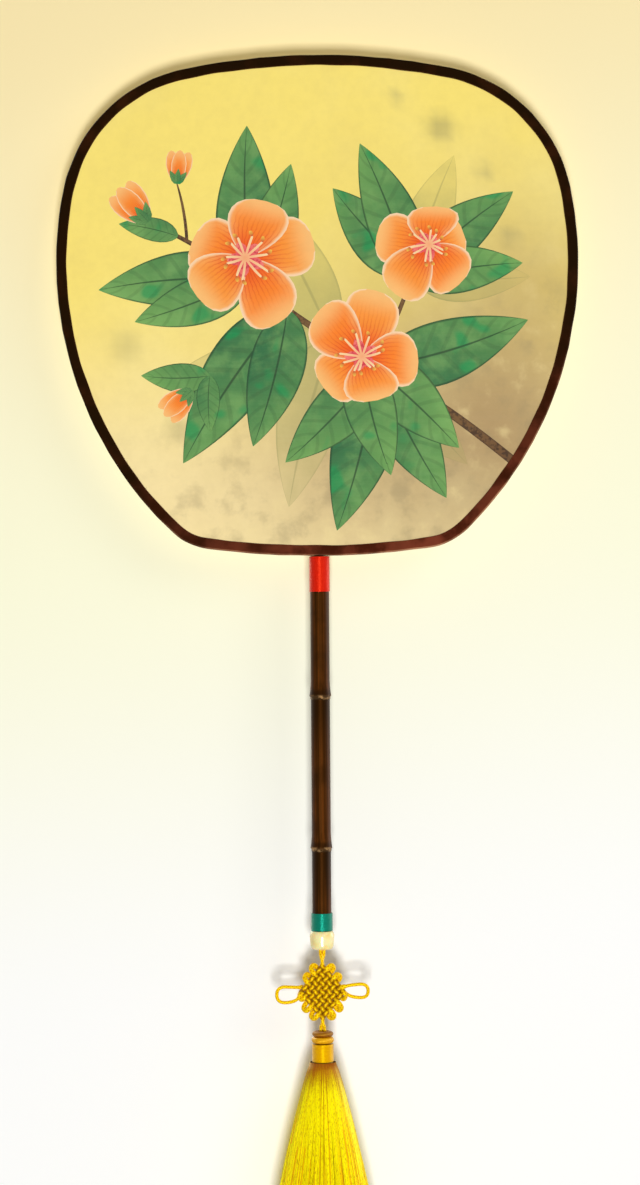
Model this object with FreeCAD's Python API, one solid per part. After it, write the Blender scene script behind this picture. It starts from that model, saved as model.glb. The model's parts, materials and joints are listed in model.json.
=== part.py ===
import FreeCAD, Part
import math
import os

Vector = FreeCAD.Vector

# Round silk hoop fan with a bamboo handle, an end bead, a woven cord knot and a tassel.
# Millimetres. The fan stands in the XZ plane, +Z up, its painted face towards -Y.
# The origin is the middle of the grip, on the handle's axis.

# Driving dimensions of the hoop's outer outline, a chain of five tangent arcs on each side
face_width = 261.0
face_height = 250.5
widest_height = 146.5
top_radius = 330.0
shoulder_radius = 77.0
side_radius = 186.5
corner_radius = 32.5
bottom_radius = 405.0

# Driving dimensions of the rim
hoop_bottom = 108.5
binding_width = 5.3
binding_thickness = 0.5
binding_round = 0.9
strip_depth = 2.6
silk_thickness = 0.3
tang_thickness = 1.6
tang_length = 22.0
end_slit = 0.3

# Driving dimensions of the handle
culm_diameter = 9.5
culm_bottom = -79.0
upper_node = 38.5
lower_node = -37.5
node_diameter = 10.9
node_rise = 8.0
node_fall = 1.6
node_lip = 1.0
groove_half_height = 0.25
scar_share = 0.55
groove_share = 0.45
node_bend_share = 0.2
upper_bore_diameter = 4.7
lower_bore_diameter = 6.0
diaphragm = 5.0

# Driving dimensions of the thread wraps
top_wrap_length = 18.0
end_wrap_length = 9.2
wrap_seat_depth = 0.25
underlay_thickness = 0.15
thread_diameter = 0.4
least_thread_gap = 0.42
most_turn_count = 24

# Driving dimensions of the end bead
bead_height = 9.0
bead_diameter = 12.4
bead_top_diameter = 10.6
bead_bottom_diameter = 9.4
bead_shoulder = 2.6
bead_foot = 2.2
bead_fullness = 0.25
tenon_length = 6.0
cord_hole_diameter = 4.0
stopper_diameter = 5.2
stopper_height = 4.2
stopper_flat_diameter = 3.4
stopper_bulge = 0.35

# Driving dimensions of the cord and its knot
cord_diameter = 1.35
strand_gap = 0.49
crossing_gap = 1.15
strand_count = 7
strand_angle = 39.2
weave_bend_share = 0.44
hanger_length = 4.6
tail_length = 2.8
twist_angle = 90.0
twist_lean = 1.4
knot_lead_in = 2.0
knot_lead_out = 2.0
joint_gap = 0.3
lower_loop_reaches = (2.7, 4.6, 4.2)
upper_loop_reaches = (4.0, 3.6)
loop_tilt = 20.0
ear_length = 12.4
ear_height = 8.4
ear_drop = 1.4
ear_side_step = 1.05
ear_lift = 0.4

# Driving dimensions of the tassel
collar_diameter = 11.0
collar_height = 6.3
collar_hole_diameter = 5.4
upper_roll_height = 2.5
upper_roll_step = 0.6
lower_roll_bulge = 0.6
upper_roll_bulge = 0.7
yarn_head_height = 2.1
neck_length = 9.2
neck_diameter = 9.9
fringe_length = 90.0
fringe_shoulder_drop = 3.6
fringe_middle_drop = 32.4
fringe_lower_drop = 63.0
fringe_top_diameter = 16.8
fringe_middle_diameter = 31.5
fringe_lower_diameter = 45.0
fringe_end_diameter = 54.0
fringe_wall = 2.6
fringe_step = 0.8
fringe_lock_count = 24
lock_side_count = 4
lock_roundness = 0.35

# Flat sides round the knot's cord and round a thread
cord_side_count = 6
thread_side_count = 4

# Clearances
glue_gap = 0.05
slip_gap = 0.1

# Values worked out from the driving dimensions
culm_radius = culm_diameter / 2
culm_top = hoop_bottom - glue_gap
cord_radius = cord_diameter / 2
strand_offset = (cord_diameter + strand_gap) / 2
bead_bottom = culm_bottom - bead_height
link_step = cord_radius + joint_gap
weave_rise = (cord_diameter + crossing_gap) / 2
lattice_angle = math.radians(strand_angle)
clear_centres = cord_diameter + strand_gap
knot_pitch = 2 * math.sqrt(clear_centres ** 2 - weave_rise ** 2) / math.sin(2 * lattice_angle)
weave_bend_radius = weave_bend_share * knot_pitch
knot_half_height = (strand_count - 1) * knot_pitch * math.cos(lattice_angle)
knot_half_width = (strand_count - 1) * knot_pitch * math.sin(lattice_angle)

# Heights of the pendant's four pivots and of the pieces between them
pivot_bead = bead_bottom - link_step
pivot_knot_top = pivot_bead - hanger_length
knot_top = pivot_knot_top - link_step
knot_middle = knot_top - knot_lead_in - knot_half_height
knot_bottom = knot_middle - knot_half_height - knot_lead_out
pivot_knot_bottom = knot_bottom - link_step
pivot_tassel = pivot_knot_bottom - tail_length
collar_top = pivot_tassel - link_step
neck_top = collar_top - collar_height
neck_bottom = neck_top - neck_length
fringe_bottom = neck_bottom - fringe_length

DOWN = Vector(0, 0, -1)

# Least lean that is drawn as an arc, and least turn that is drawn as two different arcs
straight_tolerance = 1e-7
parallel_tolerance = 1e-9

# A direction that no cord or thread starts along, from which a section's first corner is turned
off_axis = Vector(0.3, 0.5, 0.8)

# Sampling of a path when its gaps are measured
samples_per_diameter = 3
fine_samples_per_diameter = 8
gap_reach_diameters = 3


def circle_meeting(first, first_reach, second, second_reach, side):
    """The point at the given distances from two centres, left (1) or right (-1) of the line between them."""
    line = second - first
    span = line.Length
    along = (first_reach ** 2 - second_reach ** 2 + span ** 2) / (2 * span)
    across = math.sqrt(first_reach ** 2 - along ** 2)
    unit = line * (1 / span)
    return first + unit * along + Vector(-unit.z, 0, unit.x) * (side * across)


def outline_arcs():
    """Centre, radius, start and end angle of the right half's arcs, from the top to the bottom."""
    top = Vector(0, 0, hoop_bottom + face_height - top_radius)
    bottom = Vector(0, 0, hoop_bottom + bottom_radius)
    side = Vector(face_width / 2 - side_radius, 0, hoop_bottom + widest_height)
    shoulder = circle_meeting(top, top_radius - shoulder_radius, side, side_radius - shoulder_radius, -1)
    corner = circle_meeting(side, side_radius - corner_radius, bottom, bottom_radius - corner_radius, -1)

    def heading(start, end):
        return math.atan2(end.z - start.z, end.x - start.x)

    turns = (math.pi / 2, heading(top, shoulder), heading(side, shoulder), heading(side, corner),
             heading(bottom, corner), -math.pi / 2)
    centres = (top, shoulder, side, corner, bottom)
    radii = (top_radius, shoulder_radius, side_radius, corner_radius, bottom_radius)
    return [(centres[k], radii[k], turns[k], turns[k + 1]) for k in range(len(centres))]


def outline_wire(inset, depth):
    """The closed rim outline, moved in by inset, in the plane y = depth."""
    right = []
    for centre, radius, start, end in outline_arcs():
        points = []
        for angle in (start, (start + end) / 2, end):
            reach = radius - inset
            out = Vector(reach * math.cos(angle), 0, reach * math.sin(angle))
            points.append(Vector(centre.x, depth, centre.z) + out)
        right.append(points)
    for point in (right[0][0], right[-1][2]):
        point.x = 0
    edges = [Part.Arc(*points).toShape() for points in right]
    for first, middle, last in reversed(right):
        mirrored = [Vector(-point.x, point.y, point.z) for point in (last, middle, first)]
        edges.append(Part.Arc(*mirrored).toShape())
    return Part.Wire(edges)


def plate(inset, front, back):
    """A plate of the rim outline between two depths."""
    return Part.Face(outline_wire(inset, front)).extrude(Vector(0, back - front, 0))


def rim(outer_inset, inner_inset, front, back):
    """A band along the rim outline between two insets and two depths."""
    return plate(outer_inset, front, back).cut(plate(inner_inset, front, back))


def block(x_range, y_range, z_range):
    """A box from its least and greatest coordinates."""
    corner = Vector(x_range[0], y_range[0], z_range[0])
    return Part.makeBox(x_range[1] - x_range[0], y_range[1] - y_range[0], z_range[1] - z_range[0], corner)


def drum(radius, low, high):
    """A cylinder on the handle's axis between two heights."""
    return Part.makeCylinder(radius, high - low, Vector(0, 0, low))


def arc_middle(start, heading, end):
    """The middle of the arc that leaves start along heading and reaches end, or None where it is straight."""
    chord = end - start
    along = chord * (1 / chord.Length)
    lean = heading - along * heading.dot(along)
    if lean.Length < straight_tolerance:
        return None
    half_turn = math.atan2(lean.Length, heading.dot(along))
    rise = chord.Length / 2 * math.tan(half_turn / 2)
    return (start + end) * 0.5 + lean * (rise / lean.Length)


def path_edge(start, middle, end):
    """A straight run where there is no middle, and else the arc through it."""
    if middle is None:
        return Part.LineSegment(start, end).toShape()
    return Part.Arc(start, middle, end).toShape()


def biarc(start, start_heading, end, end_heading):
    """Two tangent arcs between two points with given headings."""
    chord = end - start
    spread = 1 - start_heading.dot(end_heading)
    if spread < parallel_tolerance:
        reach = chord.dot(chord) / (4 * chord.dot(start_heading))
    else:
        along = chord.dot(start_heading + end_heading)
        reach = (math.sqrt(along ** 2 + 2 * spread * chord.dot(chord)) - along) / (2 * spread)
    meeting = (start + end + (start_heading - end_heading) * reach) * 0.5
    return [
        path_edge(start, arc_middle(start, start_heading, meeting), meeting),
        path_edge(meeting, arc_middle(end, end_heading * -1, meeting), end),
    ]


def biarc_chain(stations):
    """Biarcs through a list of (point, heading) stations."""
    edges = []
    for (start, start_heading), (end, end_heading) in zip(stations, stations[1:]):
        edges.extend(biarc(start, start_heading, end, end_heading))
    return edges


def tube(edges, diameter, sides):
    """A tube along tangent edges, round where sides is 0 and else with that many flats."""
    spine = Part.Wire(edges)
    start = edges[0].valueAt(edges[0].FirstParameter)
    heading = edges[0].tangentAt(edges[0].FirstParameter)
    if sides == 0:
        section = Part.Wire([Part.makeCircle(diameter / 2, start, heading)])
    else:
        across = heading.cross(off_axis)
        across.normalize()
        turned = heading.cross(across)
        corners = []
        for k in range(sides + 1):
            angle = 2 * math.pi * (k % sides) / sides
            corners.append(start + (across * math.cos(angle) + turned * math.sin(angle)) * (diameter / 2))
        section = Part.makePolygon(corners)
    solid = spine.makePipeShell([section], True, False)
    area = Part.Face(section).Area
    print("  tube volume / (section x length): %.4f" % (solid.Volume / (area * spine.Length)))
    return solid


def path_points(edges, step):
    """Evenly spaced points along a path."""
    return Part.Wire(edges).discretize(Distance=step)


def least_gap(points, others, diameter, skip):
    """The least gap between two rows of points of one thickness, skipping near neighbours in one row."""
    reach = gap_reach_diameters * diameter
    cells = {}
    for index, point in enumerate(others):
        cells.setdefault(tuple(int(value // reach) for value in point), []).append(index)
    steps = (-1, 0, 1)
    least = reach
    for index, point in enumerate(points):
        column, row, layer = (int(value // reach) for value in point)
        for dx, dy, dz in ((a, b, c) for a in steps for b in steps for c in steps):
            for other in cells.get((column + dx, row + dy, layer + dz), ()):
                if other - index >= skip:
                    least = min(least, point.distanceToPoint(others[other]))
    return least - diameter


def own_gap(edges, diameter):
    """The least gap of a path to itself, between stretches more than three diameters apart along it."""
    points = path_points(edges, diameter / samples_per_diameter)
    return least_gap(points, points, diameter, gap_reach_diameters * samples_per_diameter)


def make_binding():
    """Tape folded round the rim: front, edge and back, with a slot below for the strip's two ends."""
    pocket_front = -strip_depth / 2 - silk_thickness
    pocket_back = strip_depth / 2
    front = pocket_front - binding_thickness
    back = pocket_back + binding_thickness
    body = plate(0, front, back)
    outer_edges = [edge for edge in body.Edges if edge.BoundBox.YLength < glue_gap]
    body = body.makeFillet(binding_round, outer_edges)
    body = body.cut(plate(binding_width, front, back))
    body = body.cut(plate(binding_thickness, pocket_front, pocket_back))
    half_slot = tang_thickness + end_slit / 2 + slip_gap
    half_depth = strip_depth / 2 + slip_gap
    slot = block((-half_slot, half_slot), (-half_depth, half_depth),
                 (culm_top, hoop_bottom + 2 * binding_width))
    return body.cut(slot)


def make_hoop_strip():
    """The bent strip under the binding, with both ends pared down and turned into the handle."""
    seat = binding_thickness + glue_gap
    half_depth = strip_depth / 2
    body = rim(seat, binding_width, -half_depth, half_depth)
    half_tang = tang_thickness + end_slit / 2
    root = hoop_bottom + (seat + binding_width) / 2
    tang = block((-half_tang, half_tang), (-half_depth, half_depth), (culm_top - tang_length, root))
    gap = block((-end_slit / 2, end_slit / 2), (-strip_depth, strip_depth),
                (culm_top - 2 * tang_length, hoop_bottom + 2 * binding_width))
    return body.fuse(tang).cut(gap).removeSplitter()


def make_silk():
    """The silk, stretched over the strip's front face and held under the binding."""
    front = -strip_depth / 2 - silk_thickness
    return plate(binding_thickness + glue_gap, front, front + silk_thickness)


def revolve(edges):
    """A solid of revolution about the handle's axis from a closed profile in the XZ plane."""
    return Part.Face(Part.Wire(edges)).revolve(Vector(0, 0, 0), Vector(0, 0, 1), 360)


def profile_edges(stations):
    """A closed profile from (radius, height, bulge) stations; bulge bends the stretch that ends there."""
    points = [Vector(radius, 0, height) for radius, height, bulge in stations]
    edges = []
    for k, (radius, height, bulge) in enumerate(stations):
        start = points[k - 1]
        end = points[k]
        chord = end - start
        side = Vector(chord.z, 0, -chord.x) * (1 / chord.Length)
        middle = (start + end) * 0.5 + side * bulge if bulge else None
        edges.append(path_edge(start, middle, end))
    return edges


def node_stations(height):
    """The swelling of one bamboo node: a short fall below the sheath scar and a long flare above it."""
    node_radius = node_diameter / 2
    swell = node_radius - culm_radius
    bend = node_bend_share * swell
    return [
        (culm_radius, height - node_lip - node_fall, 0),
        (culm_radius + scar_share * swell, height - node_lip, -bend),
        (culm_radius + groove_share * swell, height - groove_half_height, -bend / 2),
        (node_radius, height + groove_half_height, bend),
        (culm_radius, height + node_rise, -bend),
    ]


def make_culm():
    """The bamboo handle: a hollow culm with two nodes, its ends turned to seat wraps, bead and hoop."""
    seat_radius = culm_radius - wrap_seat_depth
    stations = [(0, culm_top, 0), (0, culm_bottom, 0), (culm_radius, culm_bottom, 0)]
    stations += node_stations(lower_node)
    stations += node_stations(upper_node)
    stations += [
        (culm_radius, culm_top - top_wrap_length, 0),
        (seat_radius, culm_top - top_wrap_length, 0),
        (seat_radius, culm_top, 0),
    ]
    body = revolve(profile_edges(stations))
    upper_bore = drum(upper_bore_diameter / 2, upper_node + diaphragm, culm_top)
    lower_bore = drum(lower_bore_diameter / 2, culm_bottom, lower_node - diaphragm)
    return body.cut(upper_bore).cut(lower_bore)


def make_underlay(inner_radius, low, high):
    """The thread's first layers, as one thin sleeve."""
    inner = inner_radius + glue_gap
    return drum(inner + underlay_thickness, low, high).cut(drum(inner, low, high))


def make_turns(core_radius, low, high, name):
    """The outer layer of a thread wrap: one unbroken thread round its core."""
    radius = core_radius + thread_diameter / 2 + glue_gap
    length = high - low - thread_diameter
    turns = min(most_turn_count, int(length / (thread_diameter + least_thread_gap)))
    half_turns = 2 * turns
    rise = length / half_turns
    slope = math.atan2(rise, math.pi * radius)
    stations = []
    for k in range(half_turns + 1):
        angle = math.pi * k
        out = Vector(math.cos(angle), math.sin(angle), 0)
        heading = Vector(-out.y, out.x, 0) * math.cos(slope) + Vector(0, 0, math.sin(slope))
        stations.append((out * radius + Vector(0, 0, low + thread_diameter / 2 + k * rise), heading))
    first, first_heading = stations[0]
    last, last_heading = stations[-1]
    edges = [path_edge(first - first_heading * thread_diameter, None, first)]
    edges += biarc_chain(stations)
    edges += [path_edge(last, None, last + last_heading * thread_diameter)]
    print("%s: %d turns, least gap to itself %.2f" % (name, turns, own_gap(edges, thread_diameter)))
    return tube(edges, thread_diameter, thread_side_count)


def make_bead():
    """The turned end bead: a shouldered barrel with a tenon in the culm and a hole for the doubled cord."""
    top = bead_top_diameter / 2
    waist = bead_diameter / 2
    foot = bead_bottom_diameter / 2
    tenon = lower_bore_diameter / 2 - slip_gap
    stations = [
        (0, culm_bottom + tenon_length, 0),
        (0, bead_bottom, 0),
        (foot, bead_bottom, 0),
        (waist - bead_fullness * (waist - foot), bead_bottom + bead_foot, bead_fullness * bead_foot / 2),
        (waist, culm_bottom - bead_shoulder, 0),
        (top, culm_bottom, bead_fullness * (waist - top)),
        (tenon, culm_bottom, 0),
        (tenon, culm_bottom + tenon_length, 0),
    ]
    hole = drum(cord_hole_diameter / 2, bead_bottom, culm_bottom + tenon_length)
    return revolve(profile_edges(stations)).cut(hole)


def make_anchor_cord():
    """The doubled cord through the bead, tied in a stopper knot above the bead's tenon."""
    seat = culm_bottom + tenon_length
    middle = seat + stopper_height / 2
    flat = stopper_flat_diameter / 2
    stations = [
        (0, seat + stopper_height, 0),
        (0, seat, 0),
        (flat, seat, 0),
        (stopper_diameter / 2, middle, stopper_bulge),
        (flat, seat + stopper_height, stopper_bulge),
    ]
    body = revolve(profile_edges(stations))
    for side in (-1, 1):
        foot = Vector(side * strand_offset, 0, bead_bottom)
        body = body.fuse(Part.makeCylinder(cord_radius, middle - bead_bottom, foot))
    return body.removeSplitter()


def twisted_strand(top, bottom, start_angle):
    """One of two strands that turn a quarter round each other, with a ball at each end on a pivot."""
    height = top - bottom
    stations = []
    for share, slope in ((0, 0), (0.5, 1), (1, 0)):
        angle = math.radians(start_angle + twist_angle * share)
        out = Vector(math.cos(angle), math.sin(angle), 0)
        lean = slope * twist_lean * strand_offset * math.radians(twist_angle) / height
        heading = Vector(-out.y, out.x, 0) * lean + DOWN
        heading.normalize()
        stations.append((out * strand_offset + Vector(0, 0, top - share * height), heading))
    body = tube(biarc_chain(stations), cord_diameter, 0)
    for point, heading in (stations[0], stations[-1]):
        body = body.fuse(Part.makeSphere(cord_radius, point))
    return body.removeSplitter()


# The knot's lattice: first-half strands run down to the right, second-half strands down to the left
down_right = Vector(math.sin(lattice_angle), 0, -math.cos(lattice_angle))
down_left = Vector(-math.sin(lattice_angle), 0, -math.cos(lattice_angle))


def crest(strand, crossing):
    """Where a strand passes over (front) or under (back) its crossing."""
    middle = (strand_count + 1) / 2
    point = Vector(0, 0, knot_middle)
    point += down_right * ((crossing - middle) * knot_pitch)
    point += down_left * ((strand - middle) * knot_pitch)
    point.y = -weave_rise if (strand + crossing) % 2 == 0 else weave_rise
    return point


def strand_edges(strand, crossings, heading):
    """One pass through the weave: a bend at each crossing and a straight slope between two."""
    centre_drop = 2 * (weave_rise - weave_bend_radius)
    centre_span = math.hypot(knot_pitch, centre_drop)
    slope = math.asin(2 * weave_bend_radius / centre_span) + math.atan2(centre_drop, knot_pitch)

    def bend_point(top, angle):
        inward = weave_bend_radius * (1 - math.cos(angle)) * (-1 if top.y > 0 else 1)
        return top + heading * (weave_bend_radius * math.sin(angle)) + Vector(0, inward, 0)

    edges = []
    leaving = None
    for k, crossing in enumerate(crossings):
        top = crest(strand, crossing)
        first = k == 0
        last = k == len(crossings) - 1
        before = top if first else bend_point(top, -slope)
        after = top if last else bend_point(top, slope)
        middle = top
        if first:
            middle = bend_point(top, slope / 2)
        if last:
            middle = bend_point(top, -slope / 2)
        if not first:
            edges.append(path_edge(leaving, None, before))
        edges.append(path_edge(before, middle, after))
        leaving = after
    return edges


def small_loop(start, end, heading, reach):
    """The turn at the knot's edge from one strand into the next."""
    middle = (start + end) * 0.5
    middle.y = 0
    across = end - start
    across.y = 0
    across = across - heading * across.dot(heading)
    across.normalize()
    tilt = math.radians(loop_tilt) * (1 if end.y > start.y else -1)
    tip_heading = across * math.cos(tilt) + Vector(0, math.sin(tilt), 0)
    return biarc_chain([(start, heading), (middle + heading * reach, tip_heading), (end, heading * -1)])


def ear_loop(start, end, heading):
    """The large loop at the knot's side corner, laid flat and pointing outwards."""
    corner = Vector(-knot_half_width, 0, knot_middle)
    half = ear_height / 2
    centre = corner - Vector(ear_length - half, 0, ear_drop)
    return biarc_chain([
        (start, heading),
        (centre + Vector(ear_side_step, ear_lift, half), Vector(-1, 0, 0)),
        (centre + Vector(-half, 0, 0), DOWN),
        (centre + Vector(ear_side_step, -ear_lift, -half), Vector(1, 0, 0)),
        (end, heading * -1),
    ])


def knot_path():
    """The first half of the knot's cord: in at the top, through every strand and loop, out at the bottom."""
    entry = Vector(0, -strand_offset, knot_top)
    leave = Vector(0, -strand_offset, knot_bottom)
    there = list(range(1, strand_count + 1))
    back = there[::-1]
    lower_reaches = list(lower_loop_reaches)
    upper_reaches = list(upper_loop_reaches)
    edges = biarc(entry, DOWN, crest(1, 1), down_right)
    for strand in there:
        heading = down_right if strand % 2 else down_right * -1
        crossings = there if strand % 2 else back
        edges += strand_edges(strand, crossings, heading)
        turn_start = crest(strand, crossings[-1])
        turn_end = crest(strand + 1, crossings[-1])
        if strand == strand_count:
            edges += biarc(turn_start, heading, leave, DOWN)
        elif strand == strand_count - 1:
            edges += ear_loop(turn_start, turn_end, heading)
        elif strand % 2:
            edges += small_loop(turn_start, turn_end, heading, lower_reaches.pop(0))
        else:
            edges += small_loop(turn_start, turn_end, heading, upper_reaches.pop(0))
    return edges


def half_turn(shape):
    """The same shape turned by half a turn about the handle's axis."""
    copy = shape.copy()
    copy.rotate(Vector(0, 0, 0), Vector(0, 0, 1), 180)
    return copy


def make_collar():
    """The rolled collar round the tassel's head: a small upper roll on a fuller lower one."""
    outer = collar_diameter / 2
    inner = collar_hole_diameter / 2
    split = collar_top - upper_roll_height
    groove = outer - lower_roll_bulge
    stations = [
        (inner, collar_top, 0),
        (inner, neck_top, 0),
        (groove, neck_top, 0),
        (groove, split, lower_roll_bulge),
        (groove - upper_roll_step, collar_top, upper_roll_bulge),
    ]
    return revolve(profile_edges(stations))


def make_tassel_cord(side):
    """One of the cord's two ends, let into the tassel's head."""
    foot = Vector(side * strand_offset, 0, neck_top)
    return Part.makeCylinder(cord_radius, collar_height, foot)


def lock_depth(diameter):
    """How far a lock stands out of the grooves beside it, less than half its width."""
    return lock_roundness * diameter / 2 * math.sin(math.pi / fringe_lock_count)


def fringe_ring(diameter, height):
    """The corners of a ring of rounded locks, each drawn with a few straight sides."""
    corner_count = fringe_lock_count * lock_side_count
    corners = []
    for k in range(corner_count + 1):
        across = 2 * (k % lock_side_count) / lock_side_count
        off_crown = across if across <= 1 else 2 - across
        radius = diameter / 2 - lock_depth(diameter) * off_crown ** 2
        angle = 2 * math.pi * (k % corner_count) / corner_count
        corners.append(Vector(radius * math.cos(angle), radius * math.sin(angle), height))
    return corners


def flat_sided(rings):
    """A solid between closed rings of corners that are alike in shape, so that each of its sides is flat."""
    faces = [Part.Face(Part.makePolygon(ring)) for ring in (rings[0], rings[-1])]
    for upper, lower in zip(rings, rings[1:]):
        for k in range(len(upper) - 1):
            side = [upper[k], upper[k + 1], lower[k + 1], lower[k], upper[k]]
            faces.append(Part.Face(Part.makePolygon(side)))
    return Part.makeSolid(Part.makeShell(faces))


def make_tassel_yarn():
    """The yarn: a head inside the collar, a tied neck and a flaring fringe of locks, hollow below."""
    head_radius = collar_hole_diameter / 2 - glue_gap
    neck_radius = neck_diameter / 2
    levels = [
        (neck_diameter + 2 * fringe_step, 0),
        (fringe_top_diameter, fringe_shoulder_drop),
        (fringe_middle_diameter, fringe_middle_drop),
        (fringe_lower_diameter, fringe_lower_drop),
        (fringe_end_diameter, fringe_length),
    ]
    fringe = flat_sided([fringe_ring(diameter, neck_bottom - drop) for diameter, drop in levels])
    hollow_top = neck_bottom - fringe_shoulder_drop - neck_diameter
    hollow_stations = [(0, hollow_top, 0), (0, fringe_bottom, 0)]
    for diameter, drop in reversed(levels[2:]):
        hollow_stations.append((diameter / 2 - lock_depth(diameter) - fringe_wall, neck_bottom - drop, 0))
    hollow_stations.append((fringe_wall, hollow_top, 0))
    fringe = fringe.cut(revolve(profile_edges(hollow_stations)))
    head = drum(head_radius, neck_top, neck_top + yarn_head_height)
    stem = drum(neck_radius, neck_bottom, neck_top).fuse(head)
    socket_floor = neck_top - cord_diameter
    body = stem.fuse(fringe)
    for side in (-1, 1):
        foot = Vector(side * strand_offset, 0, socket_floor)
        body = body.cut(Part.makeCylinder(cord_radius + glue_gap, collar_height, foot))
    return body.removeSplitter()


def build():
    """Every piece by its node name."""
    wrap_low = culm_top - top_wrap_length
    end_wrap_high = culm_bottom + end_wrap_length
    top_seat = culm_radius - wrap_seat_depth
    underlay_step = underlay_thickness + glue_gap
    knot_edges = knot_path()
    print("knot cord: length %.1f, least gap to itself %.2f"
          % (sum(edge.Length for edge in knot_edges), own_gap(knot_edges, cord_diameter)))
    front_points = path_points(knot_edges, cord_diameter / fine_samples_per_diameter)
    back_points = [Vector(-point.x, -point.y, point.z) for point in front_points]
    every_pair = -len(front_points)
    print("knot cord: least gap between its halves %.2f"
          % least_gap(front_points, back_points, cord_diameter, every_pair))
    bends = [edge.Curve.Radius for edge in knot_edges if hasattr(edge.Curve, "Radius")]
    print("knot cord: tightest bend radius %.2f" % min(bends))
    knot_front = tube(knot_edges, cord_diameter, cord_side_count)
    hanger_left = twisted_strand(pivot_bead, pivot_knot_top, 180)
    tail_front = twisted_strand(pivot_knot_bottom, pivot_tassel, 270)
    return {
        "edge_binding": make_binding(),
        "hoop_strip": make_hoop_strip(),
        "silk_panel": make_silk(),
        "bamboo_handle": make_culm(),
        "top_wrap_underlay": make_underlay(top_seat, wrap_low, culm_top),
        "top_wrap_turns": make_turns(top_seat + underlay_step, wrap_low, culm_top, "top wrap"),
        "end_wrap_underlay": make_underlay(culm_radius, culm_bottom, end_wrap_high),
        "end_wrap_turns": make_turns(culm_radius + underlay_step, culm_bottom, end_wrap_high, "end wrap"),
        "end_bead": make_bead(),
        "anchor_cord": make_anchor_cord(),
        "hanger_cord_left": hanger_left,
        "hanger_cord_right": half_turn(hanger_left),
        "knot_cord_front": knot_front,
        "knot_cord_back": half_turn(knot_front),
        "tail_cord_front": tail_front,
        "tail_cord_back": half_turn(tail_front),
        "tassel_cord_left": make_tassel_cord(-1),
        "tassel_cord_right": make_tassel_cord(1),
        "tassel_collar": make_collar(),
        "tassel_neck_turns": make_turns(neck_diameter / 2, neck_bottom, neck_top, "tassel neck"),
        "tassel_yarn": make_tassel_yarn(),
    }


os.makedirs("parts", exist_ok=True)
for node, shape in build().items():
    shape.exportStep("parts/" + node + ".step")
    print(node, "valid" if shape.isValid() else "not valid", len(shape.Solids), round(shape.Volume, 2))
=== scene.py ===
import json
import math
from functools import partialmethod

import bpy
import numpy as np
from mathutils import Euler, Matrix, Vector
from mathutils.geometry import delaunay_2d_cdt


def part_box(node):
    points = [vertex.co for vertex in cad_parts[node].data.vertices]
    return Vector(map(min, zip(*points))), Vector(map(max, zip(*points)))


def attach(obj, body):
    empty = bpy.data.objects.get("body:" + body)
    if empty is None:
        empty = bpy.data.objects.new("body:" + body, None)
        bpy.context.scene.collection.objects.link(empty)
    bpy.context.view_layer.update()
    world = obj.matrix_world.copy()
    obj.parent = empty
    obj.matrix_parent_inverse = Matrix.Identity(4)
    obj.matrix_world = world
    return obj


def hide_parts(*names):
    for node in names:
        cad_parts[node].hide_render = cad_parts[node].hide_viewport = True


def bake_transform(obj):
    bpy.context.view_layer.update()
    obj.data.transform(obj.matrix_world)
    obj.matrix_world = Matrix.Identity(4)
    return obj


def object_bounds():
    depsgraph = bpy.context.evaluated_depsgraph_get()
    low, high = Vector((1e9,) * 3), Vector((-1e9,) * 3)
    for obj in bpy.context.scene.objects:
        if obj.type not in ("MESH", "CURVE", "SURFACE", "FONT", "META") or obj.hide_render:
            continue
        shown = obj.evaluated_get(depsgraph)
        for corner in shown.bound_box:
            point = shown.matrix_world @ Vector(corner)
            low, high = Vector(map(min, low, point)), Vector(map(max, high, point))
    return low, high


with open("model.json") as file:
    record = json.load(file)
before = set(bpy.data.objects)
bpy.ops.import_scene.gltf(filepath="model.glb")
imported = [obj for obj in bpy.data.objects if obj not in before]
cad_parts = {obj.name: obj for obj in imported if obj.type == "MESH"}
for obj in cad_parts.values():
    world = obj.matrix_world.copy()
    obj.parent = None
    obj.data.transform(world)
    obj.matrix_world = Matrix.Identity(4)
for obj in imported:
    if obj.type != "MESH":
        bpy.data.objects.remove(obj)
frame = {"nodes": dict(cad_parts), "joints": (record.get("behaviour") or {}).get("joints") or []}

# Looks of the round silk fan. Metres, in the part's own frame: +Z up, the painted face towards -Y.
cad_low, cad_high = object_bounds()
draw = np.random.default_rng(7).uniform
mm = 0.001

# Places read from the frame
pivot_bead, pivot_knot_top, pivot_knot_bottom, pivot_tassel = (
    joint["pos_m"][2] for joint in frame["joints"]
)
rim_low, rim_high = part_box("edge_binding")
silk_low, silk_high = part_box("silk_panel")
bead_low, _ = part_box("end_bead")
top_wrap_low, top_wrap_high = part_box("top_wrap_turns")
end_wrap_low, end_wrap_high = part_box("end_wrap_turns")
collar_low, collar_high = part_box("tassel_collar")
neck_low, neck_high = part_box("tassel_neck_turns")
face_width = rim_high.x - rim_low.x
face_height = rim_high.z - rim_low.z
face_middle = (rim_high.z + rim_low.z) / 2

# The photograph's framing
photo_height = 1185
metres_per_pixel = 0.5 * mm
view_middle_x = 0.2 * mm
view_middle_z = 90.25 * mm
view_roll = math.radians(0.41)
camera_distance = 1.6
sensor_width = 36.0

# Stage and light. Each lamp has its place, size and watts
view_target = (0.0, 0.0, 0.08)
stage_reach = 3.0
floor_gap = 1 * mm
tassel_to_wall = 2 * mm
rim_to_wall = 18 * mm
world_light = 0.19
world_backdrop = 0.97
lamps = {
    "key": ((0.08, -3.0, -0.75), 0.6, 70.0),
    "fill": ((1.5, -1.5, 1.2), 1.2, 9.0),
    "back": ((-1.1, 1.4, 0.9), 1.2, 38.0),
    "side": ((1.7, 0.6, 0.4), 1.0, 17.0),
}

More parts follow.
